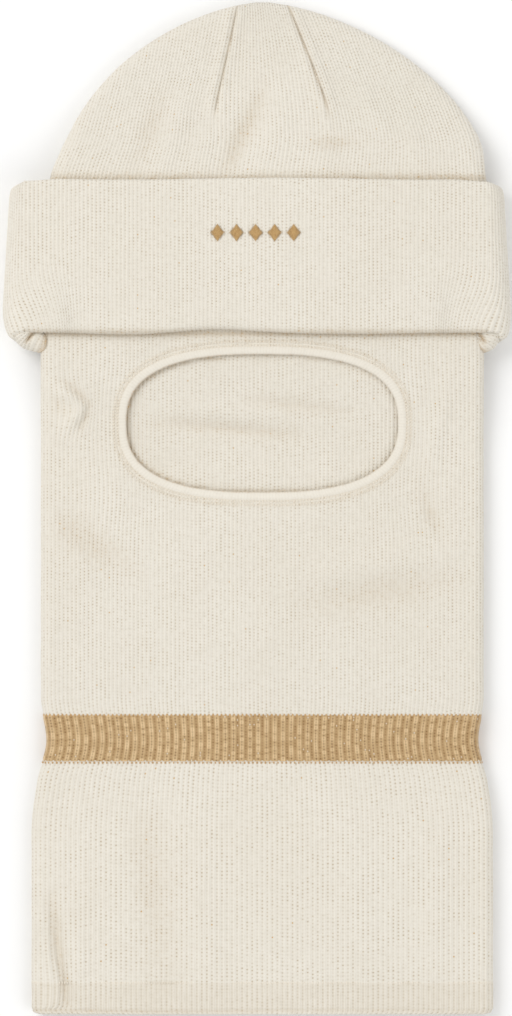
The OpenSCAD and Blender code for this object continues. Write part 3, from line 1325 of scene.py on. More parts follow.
@dataclass
class Body:
    """The tube with the face opening, the tan band, and the gaiter that covers the neck."""

    lay: Lay
    shop: Workshop
    wales: int = 110
    gaiter_wales: int = 94
    band_wales: int = 54
    band_course: float = 1.33
    face_w: float = 128.5
    face_h: float = 65.0
    face_power: float = 2.6
    back_rise: float = 4.7
    binding_w: float = 5.9
    cut: float = 2.4
    creases: tuple[Crease, ...] = (
        Crease((-96, 59), (-86, 49), 2.6, 1.7),
        Crease((-86, 48), (-90, 39), 2.6, 1.5),
        Crease((-92, 60), (-81.5, 49), 1.9, -1.5),
        Crease((-81.5, 48), (-85, 37), 1.9, -1.3),
        Crease((-99, 53), (-92, 46), 2.0, -1.2),
        Crease((-98, -4), (-62, -28), 7.0, -1.3),
        Crease((-98, -14), (-66, -38), 6.0, 1.1),
        Crease((18, -34), (92, -20), 7.0, 1.2),
        Crease((22, -46), (96, -34), 7.0, -1.1),
        Crease((92, 60), (84, 20), 4.0, 1.2),
        Crease((80, 8), (88, -14), 3.0, -1.2),
        Crease((-40, -60), (40, -66), 9.0, 0.9),
    )
    back_creases: tuple[Crease, ...] = (
        Crease((-46, 41), (20, 35), 3.4, -1.6),
        Crease((-40, 47), (30, 44), 4.0, 0.9),
        Crease((-4, 52), (44, 46), 3.0, -1.1),
        Crease((-50, 14), (10, 16), 5.0, 0.8),
    )
    neck_creases: tuple[Crease, ...] = (
        Crease((-97, -184), (-90.5, -240), 2.8, -2.0),
        Crease((-102, -188), (-97, -240), 2.6, 1.2),
        Crease((-84, -190), (-82, -236), 4.0, 1.0),
        Crease((-30, -150), (-20, -225), 8.0, 1.1),
        Crease((-52, -150), (-44, -222), 8.0, -1.0),
        Crease((40, -135), (55, -215), 9.0, 1.0),
        Crease((88, -150), (84, -220), 6.0, 1.1),
    )
    puckers: tuple[Pucker, ...] = (
        Pucker((-88, 47), (9, 10), 3.6),
        Pucker((-66, 74), (20, 22), 2.4),
        Pucker((74, 74), (20, 22), -2.0),
        Pucker((-68, 8), (16, 20), 1.6),
        Pucker((76, 8), (16, 20), -1.6),
    )
    neck_puckers: tuple[Pucker, ...] = (Pucker((-97, -228), (7, 14), 2.6),)
    hem_lip: float = 1.7
    gaiter_course: float = 1.72

    def oval(self, angle: np.ndarray, growth: float) -> np.ndarray:
        """Points of the opening's oval, grown on every side.

        Args:
            angle: How far round each point is, in radians.
            growth: How far outside the oval, mm.

        Returns:
            The points' x and y, mm.
        """
        middle_y = (low("face_binding", 1) + high("face_binding", 1)) / 2
        power = 2 / self.face_power
        c, s = np.cos(angle), np.sin(angle)
        x = self.lay.shift + (self.face_w / 2 + growth) * np.sign(c) * np.abs(c) ** power
        y = middle_y + (self.face_h / 2 + growth) * np.sign(s) * np.abs(s) ** power
        return np.stack([x, y], axis=-1)

    def oval_growth(self, x: np.ndarray, y: np.ndarray) -> np.ndarray:
        """How far outside the opening's oval each point is, mm, negative inside.

        Args:
            x: Places across, mm.
            y: Places along, mm.

        Returns:
            The distance of each point, mm.
        """
        middle_y = (low("face_binding", 1) + high("face_binding", 1)) / 2
        u, v = np.abs(x - self.lay.shift), np.abs(y - middle_y)
        growth = np.full(np.shape(x), -0.9 * self.face_h / 2)
        for _ in range(24):
            a, b = self.face_w / 2 + growth, self.face_h / 2 + growth
            r = ((u / a) ** self.face_power + (v / b) ** self.face_power) ** (1 / self.face_power)
            growth = np.maximum(growth + (r - 1) * np.minimum(a, b), -0.95 * self.face_h / 2)
        return growth

    def grid(self, ys: np.ndarray, half: Half, wales: int, course: float = COURSE) -> KnitGrid:
        """A plain length of one half of the body.

        Args:
            ys: Places along, mm, rising.
            half: Which half.
            wales: How many ribs there are across it.
            course: Height of a loop, mm.

        Returns:
            The grid.
        """
        start = -1 if half is Half.FRONT else 1
        turn = np.linspace(start, start + 2, wales * FINENESS + 1)
        y, t = np.meshgrid(ys, turn, indexing="ij")
        points = round_section(self.lay, y, t, self.lay.body_half(y))
        wale = (t - start) / 2 * wales
        return KnitGrid(points, wale, y / course)

    def settle(
        self,
        grid: KnitGrid,
        creases: Sequence[Crease],
        puckers: Sequence[Pucker] = (),
        share: np.ndarray | float = 1.0,
    ) -> np.ndarray:
        """Puts creases and puckers into a grid.

        Args:
            grid: The grid to change.
            creases: Its creases.
            puckers: Its puckers.
            share: How much of them each point takes.

        Returns:
            How much painted shade each point takes in the creases' valleys, from 0 to 1.
        """
        x, y = grid.points[..., 0].copy(), grid.points[..., 1].copy()
        flat = flatness(self.lay, grid.points, self.lay.body_half(y)) * share
        for pucker in puckers:
            grid.points[..., 0] += flat * pucker.shift(x, y)
        sunk = np.zeros(x.shape)
        for crease in creases:
            rise = flat * crease.rise(x, y)
            grid.points[..., 2] += rise
            sunk += np.clip(-rise, 0, None)
        return np.clip(VALLEY_SHADE * sunk, 0, 0.45)

    def tube(self, half: Half) -> bpy.types.Object:
        """One half of the face tube.

        Args:
            half: Which half.

        Returns:
            The piece.
        """
        lay = self.lay
        node = "face_tube_front" if half is Half.FRONT else "face_tube_back"
        grid = self.grid(spaced(low(node, 1), lay.y_tuck), half, self.wales)
        x, y = grid.points[..., 0], grid.points[..., 1]
        # Painted shade under the cuff's lower edge, along the binding's outer edge at the front,
        # round the opening's rim at the back (darker on the left), in the creases' valleys and
        # beside the heel.
        shade_under_cuff = 0.8 * bell((y - lay.y_cuff_low + 0.4) / 1.5) * (half is Half.FRONT)
        growth = self.oval_growth(x, y)
        if half is Half.FRONT:
            sunk = self.settle(grid, self.creases, self.puckers)
            middle = (growth[:-1, :-1] + growth[1:, 1:] + growth[:-1, 1:] + growth[1:, :-1]) / 4
            grid.kept = middle > self.cut
            grid.relief = ease((growth - self.cut - 1.0) / 3.0)
            rim_shade = 0.3 * bell((growth - self.binding_w) / 1.2)
        else:
            sunk = self.settle(grid, self.back_creases)
            grid.points[..., 2] += self.back_rise * ease((18 - growth) / 16)
            rim_shade = mix(0.3, 0.9, ease(0.5 - x / self.face_w)) * bell((growth + 0.2) / 0.8)
        heel_shade = bell((y - lay.y_cuff_low + 3) / 4) * ease(
            (np.abs(x - lay.shift) - lay.tube_half + 1.6) / 1.2
        )
        grid.painted_shade = np.maximum.reduce([shade_under_cuff, rim_shade, sunk, heel_shade])
        piece = knit_sheet(f"knit_{node}", grid)
        self.shop.knit(piece, CREAM, drift=0.6, seed=3.0 + half.value)
        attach(piece, "hood")
        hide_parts(node)
        return piece

    def gaiter(self, half: Half) -> bpy.types.Object:
        """One half of the gaiter, from the hem up to where the neck folds; its place is baked into
        its mesh.

        Args:
            half: Which half.

        Returns:
            The piece.
        """
        lay = self.lay
        node = "gaiter_front" if half is Half.FRONT else "gaiter_back"
        grid = self.grid(spaced(lay.y_hem, lay.y_fold), half, self.gaiter_wales, self.gaiter_course)
        if half is Half.FRONT:
            grid.painted_shade = self.settle(grid, self.neck_creases, self.neck_puckers)
        piece = knit_sheet(f"knit_{node}", grid)
        self.shop.knit(piece, CREAM, drift=0.6, seed=7.0 + half.value)
        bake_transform(piece)
        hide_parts(node)
        return piece

    def ring(
        self,
        name: str,
        node: str,
        ys: np.ndarray,
        wales: int,
        finish: KnitFinish,
        body: str,
        extra: float = 0.0,
        rib: float = 0.22,
        course: float = COURSE,
        lip: float = 0.0,
    ) -> bpy.types.Object:
        """A length of knit that runs right round the body.

        Args:
            name: The piece's name.
            node: The frame node that it replaces.
            ys: Places along, mm, rising.
            wales: How many ribs there are right round.
            finish: Its yarn.
            body: The frame body it moves with.
            extra: How much thicker than the body it is, mm.
            rib: Height of its ribs, mm.
            course: Height of a loop, mm.
            lip: Depth of the groove above a rolled lower edge, mm.

        Returns:
            The piece.
        """
        lay = self.lay
        turn = np.linspace(-1, 3, wales * FINENESS + 1)
        y, t = np.meshgrid(ys, turn, indexing="ij")
        groove = bell((y - ys[0] - self.hem_lip - 0.3 * np.sin(4 * t)) / 0.6) * bool(lip)
        points = round_section(lay, y, t, lay.body_half(y), extra - lip * groove)
        left = ease(0.5 - points[..., 0] / (2 * lay.tube_half))
        grid = KnitGrid(points, (t + 1) / 4 * wales, y / course)
        sunk = np.zeros(y.shape)
        if lip:
            front = (t < 1) * ease((y - ys[0] - self.hem_lip) / 2.5)
            sunk = self.settle(grid, self.neck_creases, self.neck_puckers, front)
        # Painted shade in the creases' valleys and in the groove above the hem's lip, darker on the
        # left.
        grid.painted_shade = np.maximum(sunk, mix(0.1, 0.4, left) * groove)
        points[:, -1] = points[:, 0]
        piece = knit_ring(name, grid, LAYER + extra)
        drift, seed = (0.6, 8.0) if lip else (0.25, 11.0)
        self.shop.knit(piece, finish, rib=rib, drift=drift, seed=seed)
        around = 4 * (lay.body_half(ys.mean()) - lay.h_tube + lay.h_tube * math.pi / 2)
        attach(piece, body)
        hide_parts(node)
        return piece

    def build(self) -> None:
        """Builds the tube, band and gaiter."""
        for half in Half:
            report(self.tube(half))
            report(self.gaiter(half))
        lay = self.lay
        link = high("band_link_lower", 1)
        tan_ys = spaced(link, lay.y_band_top, 1.4)
        rings = (
            ("rib_band_knit", "rib_band", tan_ys, self.band_wales * 2, TAN, "hood", 0.2, 0.75),
            ("band_link_upper_knit", "band_link_upper",
             spaced(lay.y_band_top, high("band_link_upper", 1), 0.8), self.wales * 2, CREAM,
             "hood", 0.0, 0.2),
            ("band_link_lower_knit", "band_link_lower", spaced(lay.y_fold, link, 0.8),
             self.gaiter_wales * 2, CREAM, "hood", 0.0, 0.2),
            ("neck_hem_knit", "neck_hem", spaced(lay.y_bottom, lay.y_hem, 0.6),
             self.gaiter_wales * 2, HEM, "neck", 0.0, 0.25),
        )
        for name, node, ys, wales, finish, body, extra, rib in rings:
            course = self.band_course if finish is TAN else COURSE
            lip = 0.45 if finish is HEM else 0.0
            report(self.ring(name, node, ys, wales, finish, body, extra, rib, course, lip))


@dataclass
class Opening:
    """The knitted binding round the face opening, and the stitches that link it on."""

    body: Body
    steps: int = 400
    section: int = 22
    ladder_pitch: float = 1.5
    thickness: float = 3.2
    ladder_place: float = 0.76

    def height(self, y: np.ndarray) -> np.ndarray:
        """The middle of the front wall at each place, mm."""
        lay = self.body.lay
        return lay.tube_mid(y) + lay.h_tube - LAYER / 2

    def binding(self) -> bpy.types.Object:
        """The rolled binding.

        Returns:
            The piece.
        """
        body = self.body
        half_w, half_h = body.binding_w / 2, self.thickness / 2
        around = np.linspace(0, 2 * math.pi, self.steps + 1)
        turn = np.linspace(0, 2 * math.pi, self.section, endpoint=False)
        rise = half_h * np.sign(np.sin(turn)) * np.abs(np.sin(turn)) ** 0.6
        out = half_w + half_w * np.sign(np.cos(turn)) * np.abs(np.cos(turn)) ** 0.8
        ladder = bell((out - self.ladder_place * body.binding_w) / 0.5) * (rise > 0)
        rise = rise - 0.7 * ladder
        rows = []
        for o, r in zip(out, rise):
            xy = body.oval(around, o)
            rows.append(np.column_stack([xy, self.height(xy[:, 1]) + r]))
        points = np.stack(rows)
        middle = body.oval(around, half_w)
        run = np.concatenate([[0], np.cumsum(np.linalg.norm(np.diff(middle, axis=0), axis=1))])
        loops = round(run[-1] / self.ladder_pitch)
        wale = np.broadcast_to(run / run[-1] * loops, points.shape[:2])
        course = np.broadcast_to((out / COURSE)[:, None], points.shape[:2])
        # Painted shade along the binding's inner edge, darker on the left, and in the ladder's
        # groove.
        left = mix(0.25, 0.9, ease(0.5 - points[..., 0] / body.face_w))
        painted_shade = left * bell((out - 0.05) / 0.35)[:, None] + 0.3 * ladder[:, None]
        rows_count, columns = points.shape[:2]
        keep = columns - 1
        index = np.arange(rows_count * keep).reshape(rows_count, keep)
        index = np.vstack([index, index[:1]])
        index = np.hstack([index, index[:, :1]])
        quads = np.stack(
            [index[:-1, :-1], index[1:, :-1], index[1:, 1:], index[:-1, 1:]], axis=-1
        ).reshape(-1, 4)
        values = {
            "wale": wale[:, :-1].ravel(),
            "course": course[:, :-1].ravel(),
            "relief": np.ones(rows_count * keep),
            "painted_shade": painted_shade[:, :-1].ravel(),
        }
        piece = build_mesh(
            "face_binding_knit", points[:, :-1].reshape(-1, 3), quads.tolist(), values, loops
        )
        body.shop.knit(piece, BINDING, rib=0.1, drift=0.35, size=9.0, seed=5.0)
        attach(piece, "hood")
        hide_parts("face_binding")
        return piece

    def ring_line(self, growth: float, rise: float) -> tuple[np.ndarray, np.ndarray]:
        """A line round the opening.

        Args:
            growth: How far outside the oval, mm.
            rise: How far above the middle of the wall, mm.

        Returns:
            The line's points, and which way is up at each.
        """
        angle = np.linspace(0, 2 * math.pi, 240, endpoint=False)
        xy = self.body.oval(angle, growth)
        points = np.column_stack([xy, self.height(xy[:, 1]) + rise])
        return points, np.tile([0.0, 0.0, 1.0], (len(points), 1))

    def build(self) -> None:
        """Builds the binding and its stitches."""
        report(self.binding())
        shop = self.body.shop
        ladder, up = self.ring_line(self.ladder_place * self.body.binding_w, 1.1)
        edge, _ = self.ring_line(self.body.binding_w + 0.4, 1.15)
        piece = shop.stitches(
            "binding_ladder_stitches", [ladder, edge], [up, up], CREAM_THREAD, closed=True,
            Pitch=self.ladder_pitch, Length=1.3, Width=0.8, Height=0.7, Turn=90.0, Seed=4,
        )
        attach(piece, "hood")
        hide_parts("binding_linking")
        report(piece)


@dataclass
class Beanie:
    """The beanie over the crown, with its darts, and the seam that joins the tube to it."""

    lay: Lay
    shop: Workshop
    wales: int = 112
    gore_foot: float = 14.0
    foot_half: float = 28.0
    top_half: float = 11.5
    dart_l: float = 52.0
    side_lean: float = 22.0
    dart_bend: float = 8.0
    foot_rows: int = 42
    top_rows: int = 36
    creases: tuple[Crease, ...] = (
        Crease((3, 196), (-15, 158), 4.0, -1.8),
        Crease((14, 192), (4, 160), 6.5, 1.3),
        Crease((-10, 196), (-30, 160), 5.0, 1.0),
        Crease((26, 173), (47, 173), 3.2, -1.4),
        Crease((-32, 196), (-44, 161), 4.5, 1.5),
        Crease((-44, 196), (-56, 163), 5.0, -1.0),
        Crease((46, 202), (62, 180), 5.0, 1.3),
        Crease((70, 190), (80, 162), 5.0, 0.9),
    )

    @property
    def y_foot(self) -> float:
        """Where the darts end."""
        return self.lay.y_top - self.dart_l

    def dart_x(self, y: np.ndarray) -> np.ndarray:
        """How far a dart's line is from the middle, mm."""
        return mix(self.foot_half, self.top_half, self.narrowing(y))

    def narrowing(self, y: np.ndarray) -> np.ndarray:
        """How far the darts have closed in, from 0 to 1, with a soft start at their feet.

        Args:
            y: Places along, mm.

        Returns:
            How far they have closed in at each place.
        """
        t = (y - self.y_foot) / self.dart_l
        soft = self.dart_bend / self.dart_l
        return (t + np.sqrt(t * t + soft * soft)) / (1 + math.sqrt(1 + soft * soft))

    def wale_x(self, wale: float, gore: bool, y: np.ndarray) -> np.ndarray:
        """How far a wale is from the middle.

        Args:
            wale: Which rib, counted from the middle.
            gore: True for the ribs between the darts.
            y: Places along, mm.

        Returns:
            Its distance from the middle at each place, mm.
        """
        lay = self.lay
        if gore:
            share = mix(0.4, 0.72, ease((y - self.y_foot) / self.dart_l))
            width = mix(self.foot_half, self.top_half, self.narrowing(y) * share)
            return wale / self.gore_foot * width
        side = self.wales / 2 - self.gore_foot
        share = (wale - self.gore_foot) / side
        width = np.where(y < lay.y_base, lay.beanie_width(y), lay.crown_half)
        straight = mix(self.foot_half, width, share)
        inwards = np.clip(lay.crown_half - lay.beanie_width(y), 0, None) * (y > lay.y_base)
        outer = self.side_lean * (1 - np.exp(-inwards / self.side_lean))
        dart = self.foot_half - self.dart_x(y)
        return straight - mix(dart, outer, share)

    def wale_end(self, wale: float, gore: bool) -> float:
        """Where a wale reaches the dart or the edge of the crown.

        Args:
            wale: Which rib, counted from the middle.
            gore: True for the ribs between the darts.

        Returns:
            The place along, mm.
        """
        ys = np.linspace(self.lay.y_base, self.lay.y_top, 800)
        x = self.wale_x(wale, gore, ys)
        room = self.lay.beanie_width(ys) - x
        if gore:
            room = np.minimum(room, self.dart_x(ys) - x + 1e-6)
        out = np.nonzero(room < 0)[0]
        if len(out) == 0:
            return float(ys[-1])
        k = max(int(out[0]), 1)
        a, b = room[k - 1], room[k]
        return float(mix(ys[k - 1], ys[k], a / (a - b))) if a > 0 else float(ys[k - 1])

    def columns(self) -> list[tuple[float, bool]]:
        """The wale lines from left to right, each with whether it is between the darts.

        Returns:
            Each line's rib, counted from the middle, and True between the darts.
        """
        count = round(self.gore_foot * FINENESS)
        side = round((self.wales / 2 - self.gore_foot) * FINENESS)
        left = [(-(self.gore_foot + k / FINENESS), False) for k in range(side, -1, -1)]
        gore = [(k / FINENESS, True) for k in range(-count, count + 1)]
        right = [(self.gore_foot + k / FINENESS, False) for k in range(side + 1)]
        return left + gore + right

    def edge_distance(self, x: np.ndarray, y: np.ndarray) -> np.ndarray:
        """How far inside the beanie's outline each point is, mm.

        Args:
            x: Places across, mm.
            y: Places along, mm.

        Returns:
            The distance of each point, mm.
        """
        lay = self.lay
        ys = np.concatenate(
            [np.linspace(lay.y_roll, lay.y_base, 40), lay.y_base + lay.crown_bend
             * np.sin(np.linspace(0, math.pi / 2, 160))]
        )
        half = lay.beanie_width(ys)
        near = np.full(x.shape, np.inf)
        for side in (-1, 1):
            for px, py in zip(side * half, ys):
                near = np.minimum(near, np.hypot(x - px, y - py))
            across = np.linspace(0, half[-1], 6)
            for px in side * across:
                near = np.minimum(near, np.hypot(x - px, y - ys[-1]))
        return np.minimum(near, np.clip(lay.beanie_width(y) - np.abs(x), 0, None))

    def shell(self, half: Half) -> bpy.types.Object:
        """One half of the beanie.

        Args:
            half: Which half.

        Returns:
            The piece.
        """
        lay = self.lay
        columns = self.columns()
        y_low = lay.y_roll
        dart_end = self.wale_end(self.gore_foot, False)
        share = (self.y_foot - y_low) / (dart_end - y_low)
        lower = np.linspace(0, 1, self.foot_rows)
        upper = 1 - (1 - np.linspace(0, 1, self.top_rows + 1)[1:]) ** 1.4
        xs, ys = [], []
        for wale, gore in columns:
            end = self.wale_end(abs(wale), gore)
            if gore and abs(wale) >= self.gore_foot:
                end = self.y_foot
            split = self.y_foot if gore else y_low + (end - y_low) * share
            y = np.concatenate([mix(y_low, split, lower), mix(split, end, upper)])
            xs.append(np.sign(wale) * self.wale_x(abs(wale), gore, y))
            ys.append(y)
        x, y = np.stack(xs, axis=1), np.stack(ys, axis=1)
        wale = np.broadcast_to([w for w, _ in columns], x.shape)
        inside = self.edge_distance(x, y)
        h = lay.beanie_h(y)
        profile = np.sqrt(np.clip(1 - np.clip(1 - inside / h, 0, 1) ** 2, 0, 1))
        above = np.abs(x) - self.dart_x(y)
        at_dart = (y > self.y_foot - 6) * ease((y - self.y_foot + 6) / 10)
        seam = bell(above / 0.7) * at_dart
        puff = (bell((above - 2.8) / 2.0) + 0.7 * bell((above + 2.6) / 1.8)) * at_dart
        gathers = 1 + 0.35 * np.sin(y / 1.9 + x / 5.0)
        rise = -1.1 * seam + 1.1 * puff * gathers
        middle = lay.beanie_centre(y)
        flat = ease(inside / 12) * ease((y - lay.y_cuff_top + 4) / 8)
        sunk = np.zeros(x.shape)
        for crease in self.creases if half is Half.FRONT else ():
            fold = crease.rise(x + middle, y) * flat
            rise = rise + fold
            sunk += np.clip(-fold, 0, None)
        share = 1.0 if half is Half.FRONT else 0.25
        rise = share * rise * np.clip(inside / 4, 0, 1)
        z = lay.beanie_mid(y) + half.value * (h * profile + rise)
        points = np.stack([x + middle, y, z], axis=-1)
        rows = len(lower) + len(upper)
        kept = np.ones((rows - 1, len(columns) - 1), bool)
        for k in range(len(columns) - 1):
            if columns[k][1] != columns[k + 1][1]:
                kept[:, k] = False
        # Painted shade along the darts, darker on the right, in a line where the cuff's upper edge
        # lies, and in the creases' valleys.
        strength = np.where(x > 0, 0.55, 0.3)
        painted_shade = np.maximum(strength * seam, 0.7 * bell((y - lay.y_cuff_top - 0.5) / 1.5))
        painted_shade = np.maximum(painted_shade, np.clip(VALLEY_SHADE * sunk, 0, 0.45))
        grid = KnitGrid(points, wale + self.wales / 2, y / COURSE, kept, painted_shade)
        if half is Half.BACK:
            grid = mirrored(grid)
        name = "beanie_front" if half is Half.FRONT else "beanie_back"
        piece = knit_sheet(f"knit_{name}", grid)
        self.shop.knit(piece, CREAM, drift=0.6, seed=13.0 + half.value)
        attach(piece, "hood")
        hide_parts(name)
        return piece

    def dart(self, side: Side, half: Half) -> bpy.types.Object:
        """The stitches of one dart.

        Args:
            side: Which side of the crown.
            half: Front or back.

        Returns:
            The piece.
        """
        lay = self.lay
        y = np.linspace(self.y_foot - 2, lay.y_top - 3, 40)
        x = lay.beanie_centre(y) + side.value * self.dart_x(y)
        h = lay.beanie_h(y)
        inside = self.edge_distance(side.value * self.dart_x(y), y)
        profile = np.sqrt(np.clip(1 - np.clip(1 - inside / h, 0, 1) ** 2, 0, 1))
        z = lay.beanie_mid(y) + half.value * (h * profile - 1.05)
        up = np.tile([0.0, 0.0, float(half.value)], (len(y), 1))
        name = f"dart_seam_{half.name.lower()}_{side.name.lower()}"
        piece = self.shop.stitches(
            f"{name}_stitches", [np.column_stack([x, y, z])], [up], CREAM_THREAD,
            Pitch=1.5, Length=1.3, Width=0.7, Height=0.8, Turn=60.0 * side.value, Seed=9,
        )
        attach(piece, "hood")
        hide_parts(name)
        return piece

    def join(self) -> bpy.types.Object:
        """The ring of linked knit inside, where the tube hangs from the beanie.

        Returns:
            The piece.
        """
        lay = self.lay
        count = self.wales * 2
        turn = np.linspace(-1, 3, count + 1)
        ys = np.array([lay.y_tuck, (lay.y_tuck + lay.y_join) / 2, lay.y_join])
        y, t = np.meshgrid(ys, turn, indexing="ij")
        half = np.full(y.shape, lay.beanie_half - LAYER)
        points = round_section(lay, y, t, half)
        points[..., 0] -= lay.shift
        middle = lay.beanie_mid(y)
        points[..., 2] = middle + (points[..., 2] - lay.tube_mid(y)) * (
            (lay.beanie_h(y) - LAYER) / lay.h_tube
        )
        grid = KnitGrid(points, (t + 1) / 4 * count, y / COURSE)
        piece = knit_ring("join_seam_knit", grid, 1.8)
        self.shop.knit(piece, CREAM, rib=0.1, drift=0.1, seed=2.0)
        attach(piece, "hood")
        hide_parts("join_seam")
        return piece

    def build(self) -> None:
        """Builds the beanie."""
        for half in Half:
            report(self.shell(half))
            for side in Side:
                report(self.dart(side, half))
        report(self.join())


@dataclass
class Cuff:
    """The turned-up cuff: two flaps, two side folds and the embroidery."""

    lay: Lay
    shop: Workshop
    wales: int = 112
    side_wales: int = 18
    edge_steps: int = 5
    sag: float = 6.5
    cap_shares: tuple[float, ...] = (0.8, 0.6, 0.4, 0.2)
    low_bumps: tuple[tuple[float, float, float], ...] = (
        (1.7, -20, 24),
        (-1.0, -56, 26),
        (-0.6, 45, 40),
    )
    side_taper: float = 4.3
    side_spread: tuple[float, float] = (-0.2, 0.9)
    corner_in: tuple[float, float] = (10.0, 6.0)
    top_slope: float = 1.2
    corner_slope: float = 2.2
    heel_edge: tuple[tuple[float, float, float, float], ...] = (
        (116.6, 96.0, 13.0, 5.4),
        (116.8, 89.6, 13.4, 6.0),
        (116.0, 84.0, 13.8, 6.6),
        (113.9, 79.4, 14.0, 6.8),
        (110.6, 76.0, 13.4, 6.4),
        (106.2, 74.4, 12.4, 5.4),
        (103.6, 73.8, 12.0, 5.0),
        (102.2, 73.7, 11.8, 4.8),
    )
    heel_fold: Crease = Crease((104.4, 84.6), (108.6, 78.4), 0.9, 2.2)
    corner_pull: float = 3.4
    wale_pull: float = 7.0
    diamonds: int = 5
    diamond_size: float = 8.0

    def profile(self) -> tuple[np.ndarray, np.ndarray]:
        """The flap's outline across its thickness, right round, from under the roll.

        Returns:
            Its places along and its heights, mm.
        """
        lay = self.lay
        roll_r = lay.y_roll - lay.y_cuff_low
        z_roll = lay.z_top - roll_r
        edge_r = lay.cuff_t / 2
        turn = np.linspace(-math.pi / 2, math.pi / 2, 9)
        roll_y = lay.y_roll - roll_r * np.cos(turn)
        roll_z = z_roll + roll_r * np.sin(turn)
        up_y = spaced(lay.y_roll, lay.y_cuff_top - edge_r)[1:-1]
        edge = np.linspace(math.pi / 2, -math.pi / 2, 2 * self.edge_steps - 1)
        edge_y = lay.y_cuff_top - edge_r + edge_r * np.cos(edge)
        edge_z = lay.z_top - edge_r + edge_r * np.sin(edge)
        heel_y = lay.y_roll + roll_r
        down_y = spaced(lay.y_cuff_top - edge_r, heel_y)[1:]
        foot_y = np.array([heel_y - 0.7, lay.y_roll + 0.6])
        low_z = z_roll - roll_r + LAYER
        y = np.concatenate([roll_y, up_y, edge_y, down_y, foot_y])
        z = np.concatenate(
            [
                roll_z,
                np.full(len(up_y), lay.z_top),
                edge_z,
                np.full(len(down_y), lay.z_top - lay.cuff_t),
                np.full(len(foot_y), low_z),
            ]
        )
        return y, z

    def flap(self, half: Half) -> bpy.types.Object:
        """A flap of the cuff with its rolled lower edge.

        Args:
            half: Which half.

        Returns:
            The piece.
        """
        lay = self.lay
        y, z = self.profile()
        reach = lay.side_x
        x = np.linspace(-reach, reach, self.wales * FINENESS + 1)
        points = np.zeros((len(y), len(x), 3))
        points[..., 0] = x
        points[..., 1] = y[:, None]
        points[..., 2] = z[:, None]
        low_share = ease((lay.y_roll + 16 - points[..., 1]) / 18)
        edge = sum(rise * bell((x - place) / width) for rise, place, width in self.low_bumps)
        top_share = ease((points[..., 1] - lay.y_cuff_top + 14) / 14)
        top_wave = 0.45 * np.sin(x / 23.0 + 1.1)
        points[..., 1] -= top_share * self.top_slope * ease((np.abs(x) - 92) / (reach - 92))
        pulled = self.corner_pull * bell((np.abs(x) - reach + 13) / 8) * (np.abs(x) < reach)
        points[..., 0] -= np.sign(x) * pulled * ease((lay.y_roll + 36 - points[..., 1]) / 38)
        if half is Half.FRONT:
            points[..., 1] += low_share * edge + top_share * top_wave
        else:
            down = self.sag * ease((np.abs(x) - 88) / 16)
            points[..., 1] -= low_share * down
        ends = ease((reach - np.abs(x)) / 10)
        outer = points[..., 2] > lay.z_top - lay.cuff_t / 2
        puff = np.sin(x / 31.0) * np.sin(points[..., 1] / 19.0) * 0.35
        points[..., 2] += np.where(outer, puff, 0.0) * ends
        run = np.concatenate([[0], np.cumsum(np.hypot(np.diff(y), np.diff(z)))])
        course = np.broadcast_to((run / COURSE)[:, None], points.shape[:2])
        wale = np.arange(len(x)) / FINENESS + 0.5
        wale = wale + np.sign(x) * self.lean_in(points[..., 0], points[..., 1])
        # Painted shade under the rolled lower edge.
        painted_shade = 0.5 * bell((points[..., 1] - lay.y_cuff_low) / 1.5)
        grid = KnitGrid(points, wale, course, painted_shade=painted_shade, round_rows=True)
        if half is Half.BACK:
            points[..., 2] = lay.z_top - points[..., 2]
            grid = mirrored(grid)
        side = half.name.lower()
        piece = knit_roll(f"cuff_{side}_knit", grid)
        self.shop.knit(piece, CREAM, drift=0.35, seed=21.0 + half.value)
        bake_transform(piece)
        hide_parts(f"cuff_{side}", f"cuff_roll_{side}")
        return piece

    def lean_in(self, x: np.ndarray, y: np.ndarray) -> np.ndarray:
        """How far the wales lean inwards at the cuff's lower corners, in wales."""
        near = bell((np.abs(x) - self.lay.side_x + 3) / 15)
        return self.wale_pull / WALE * near * ease((self.lay.y_roll + 30 - y) / 34) ** 1.5

    def side_width(self, y: np.ndarray, side: Side) -> np.ndarray:
        """How far a side fold reaches beyond the flaps' ends, mm.

        Args:
            y: Places along, mm.
            side: Which side.

        Returns:
            The reach at each place, mm.
        """
        lay = self.lay
        height = lay.y_cuff_top - lay.y_cuff_low
        reach = lay.cuff_half - lay.side_x + 0.12 + self.side_spread[side is Side.RIGHT]
        taper = self.side_taper * np.clip((y - lay.y_cuff_low) / height, 0, 1)
        turned_in = self.corner_in[side is Side.RIGHT]
        heel = turned_in * corner((y - lay.y_cuff_low + self.sag) / 20.0)
        top = 3.2 * corner((lay.y_cuff_top - self.top_slope - y) / 8.0)
        return reach - taper - heel - top

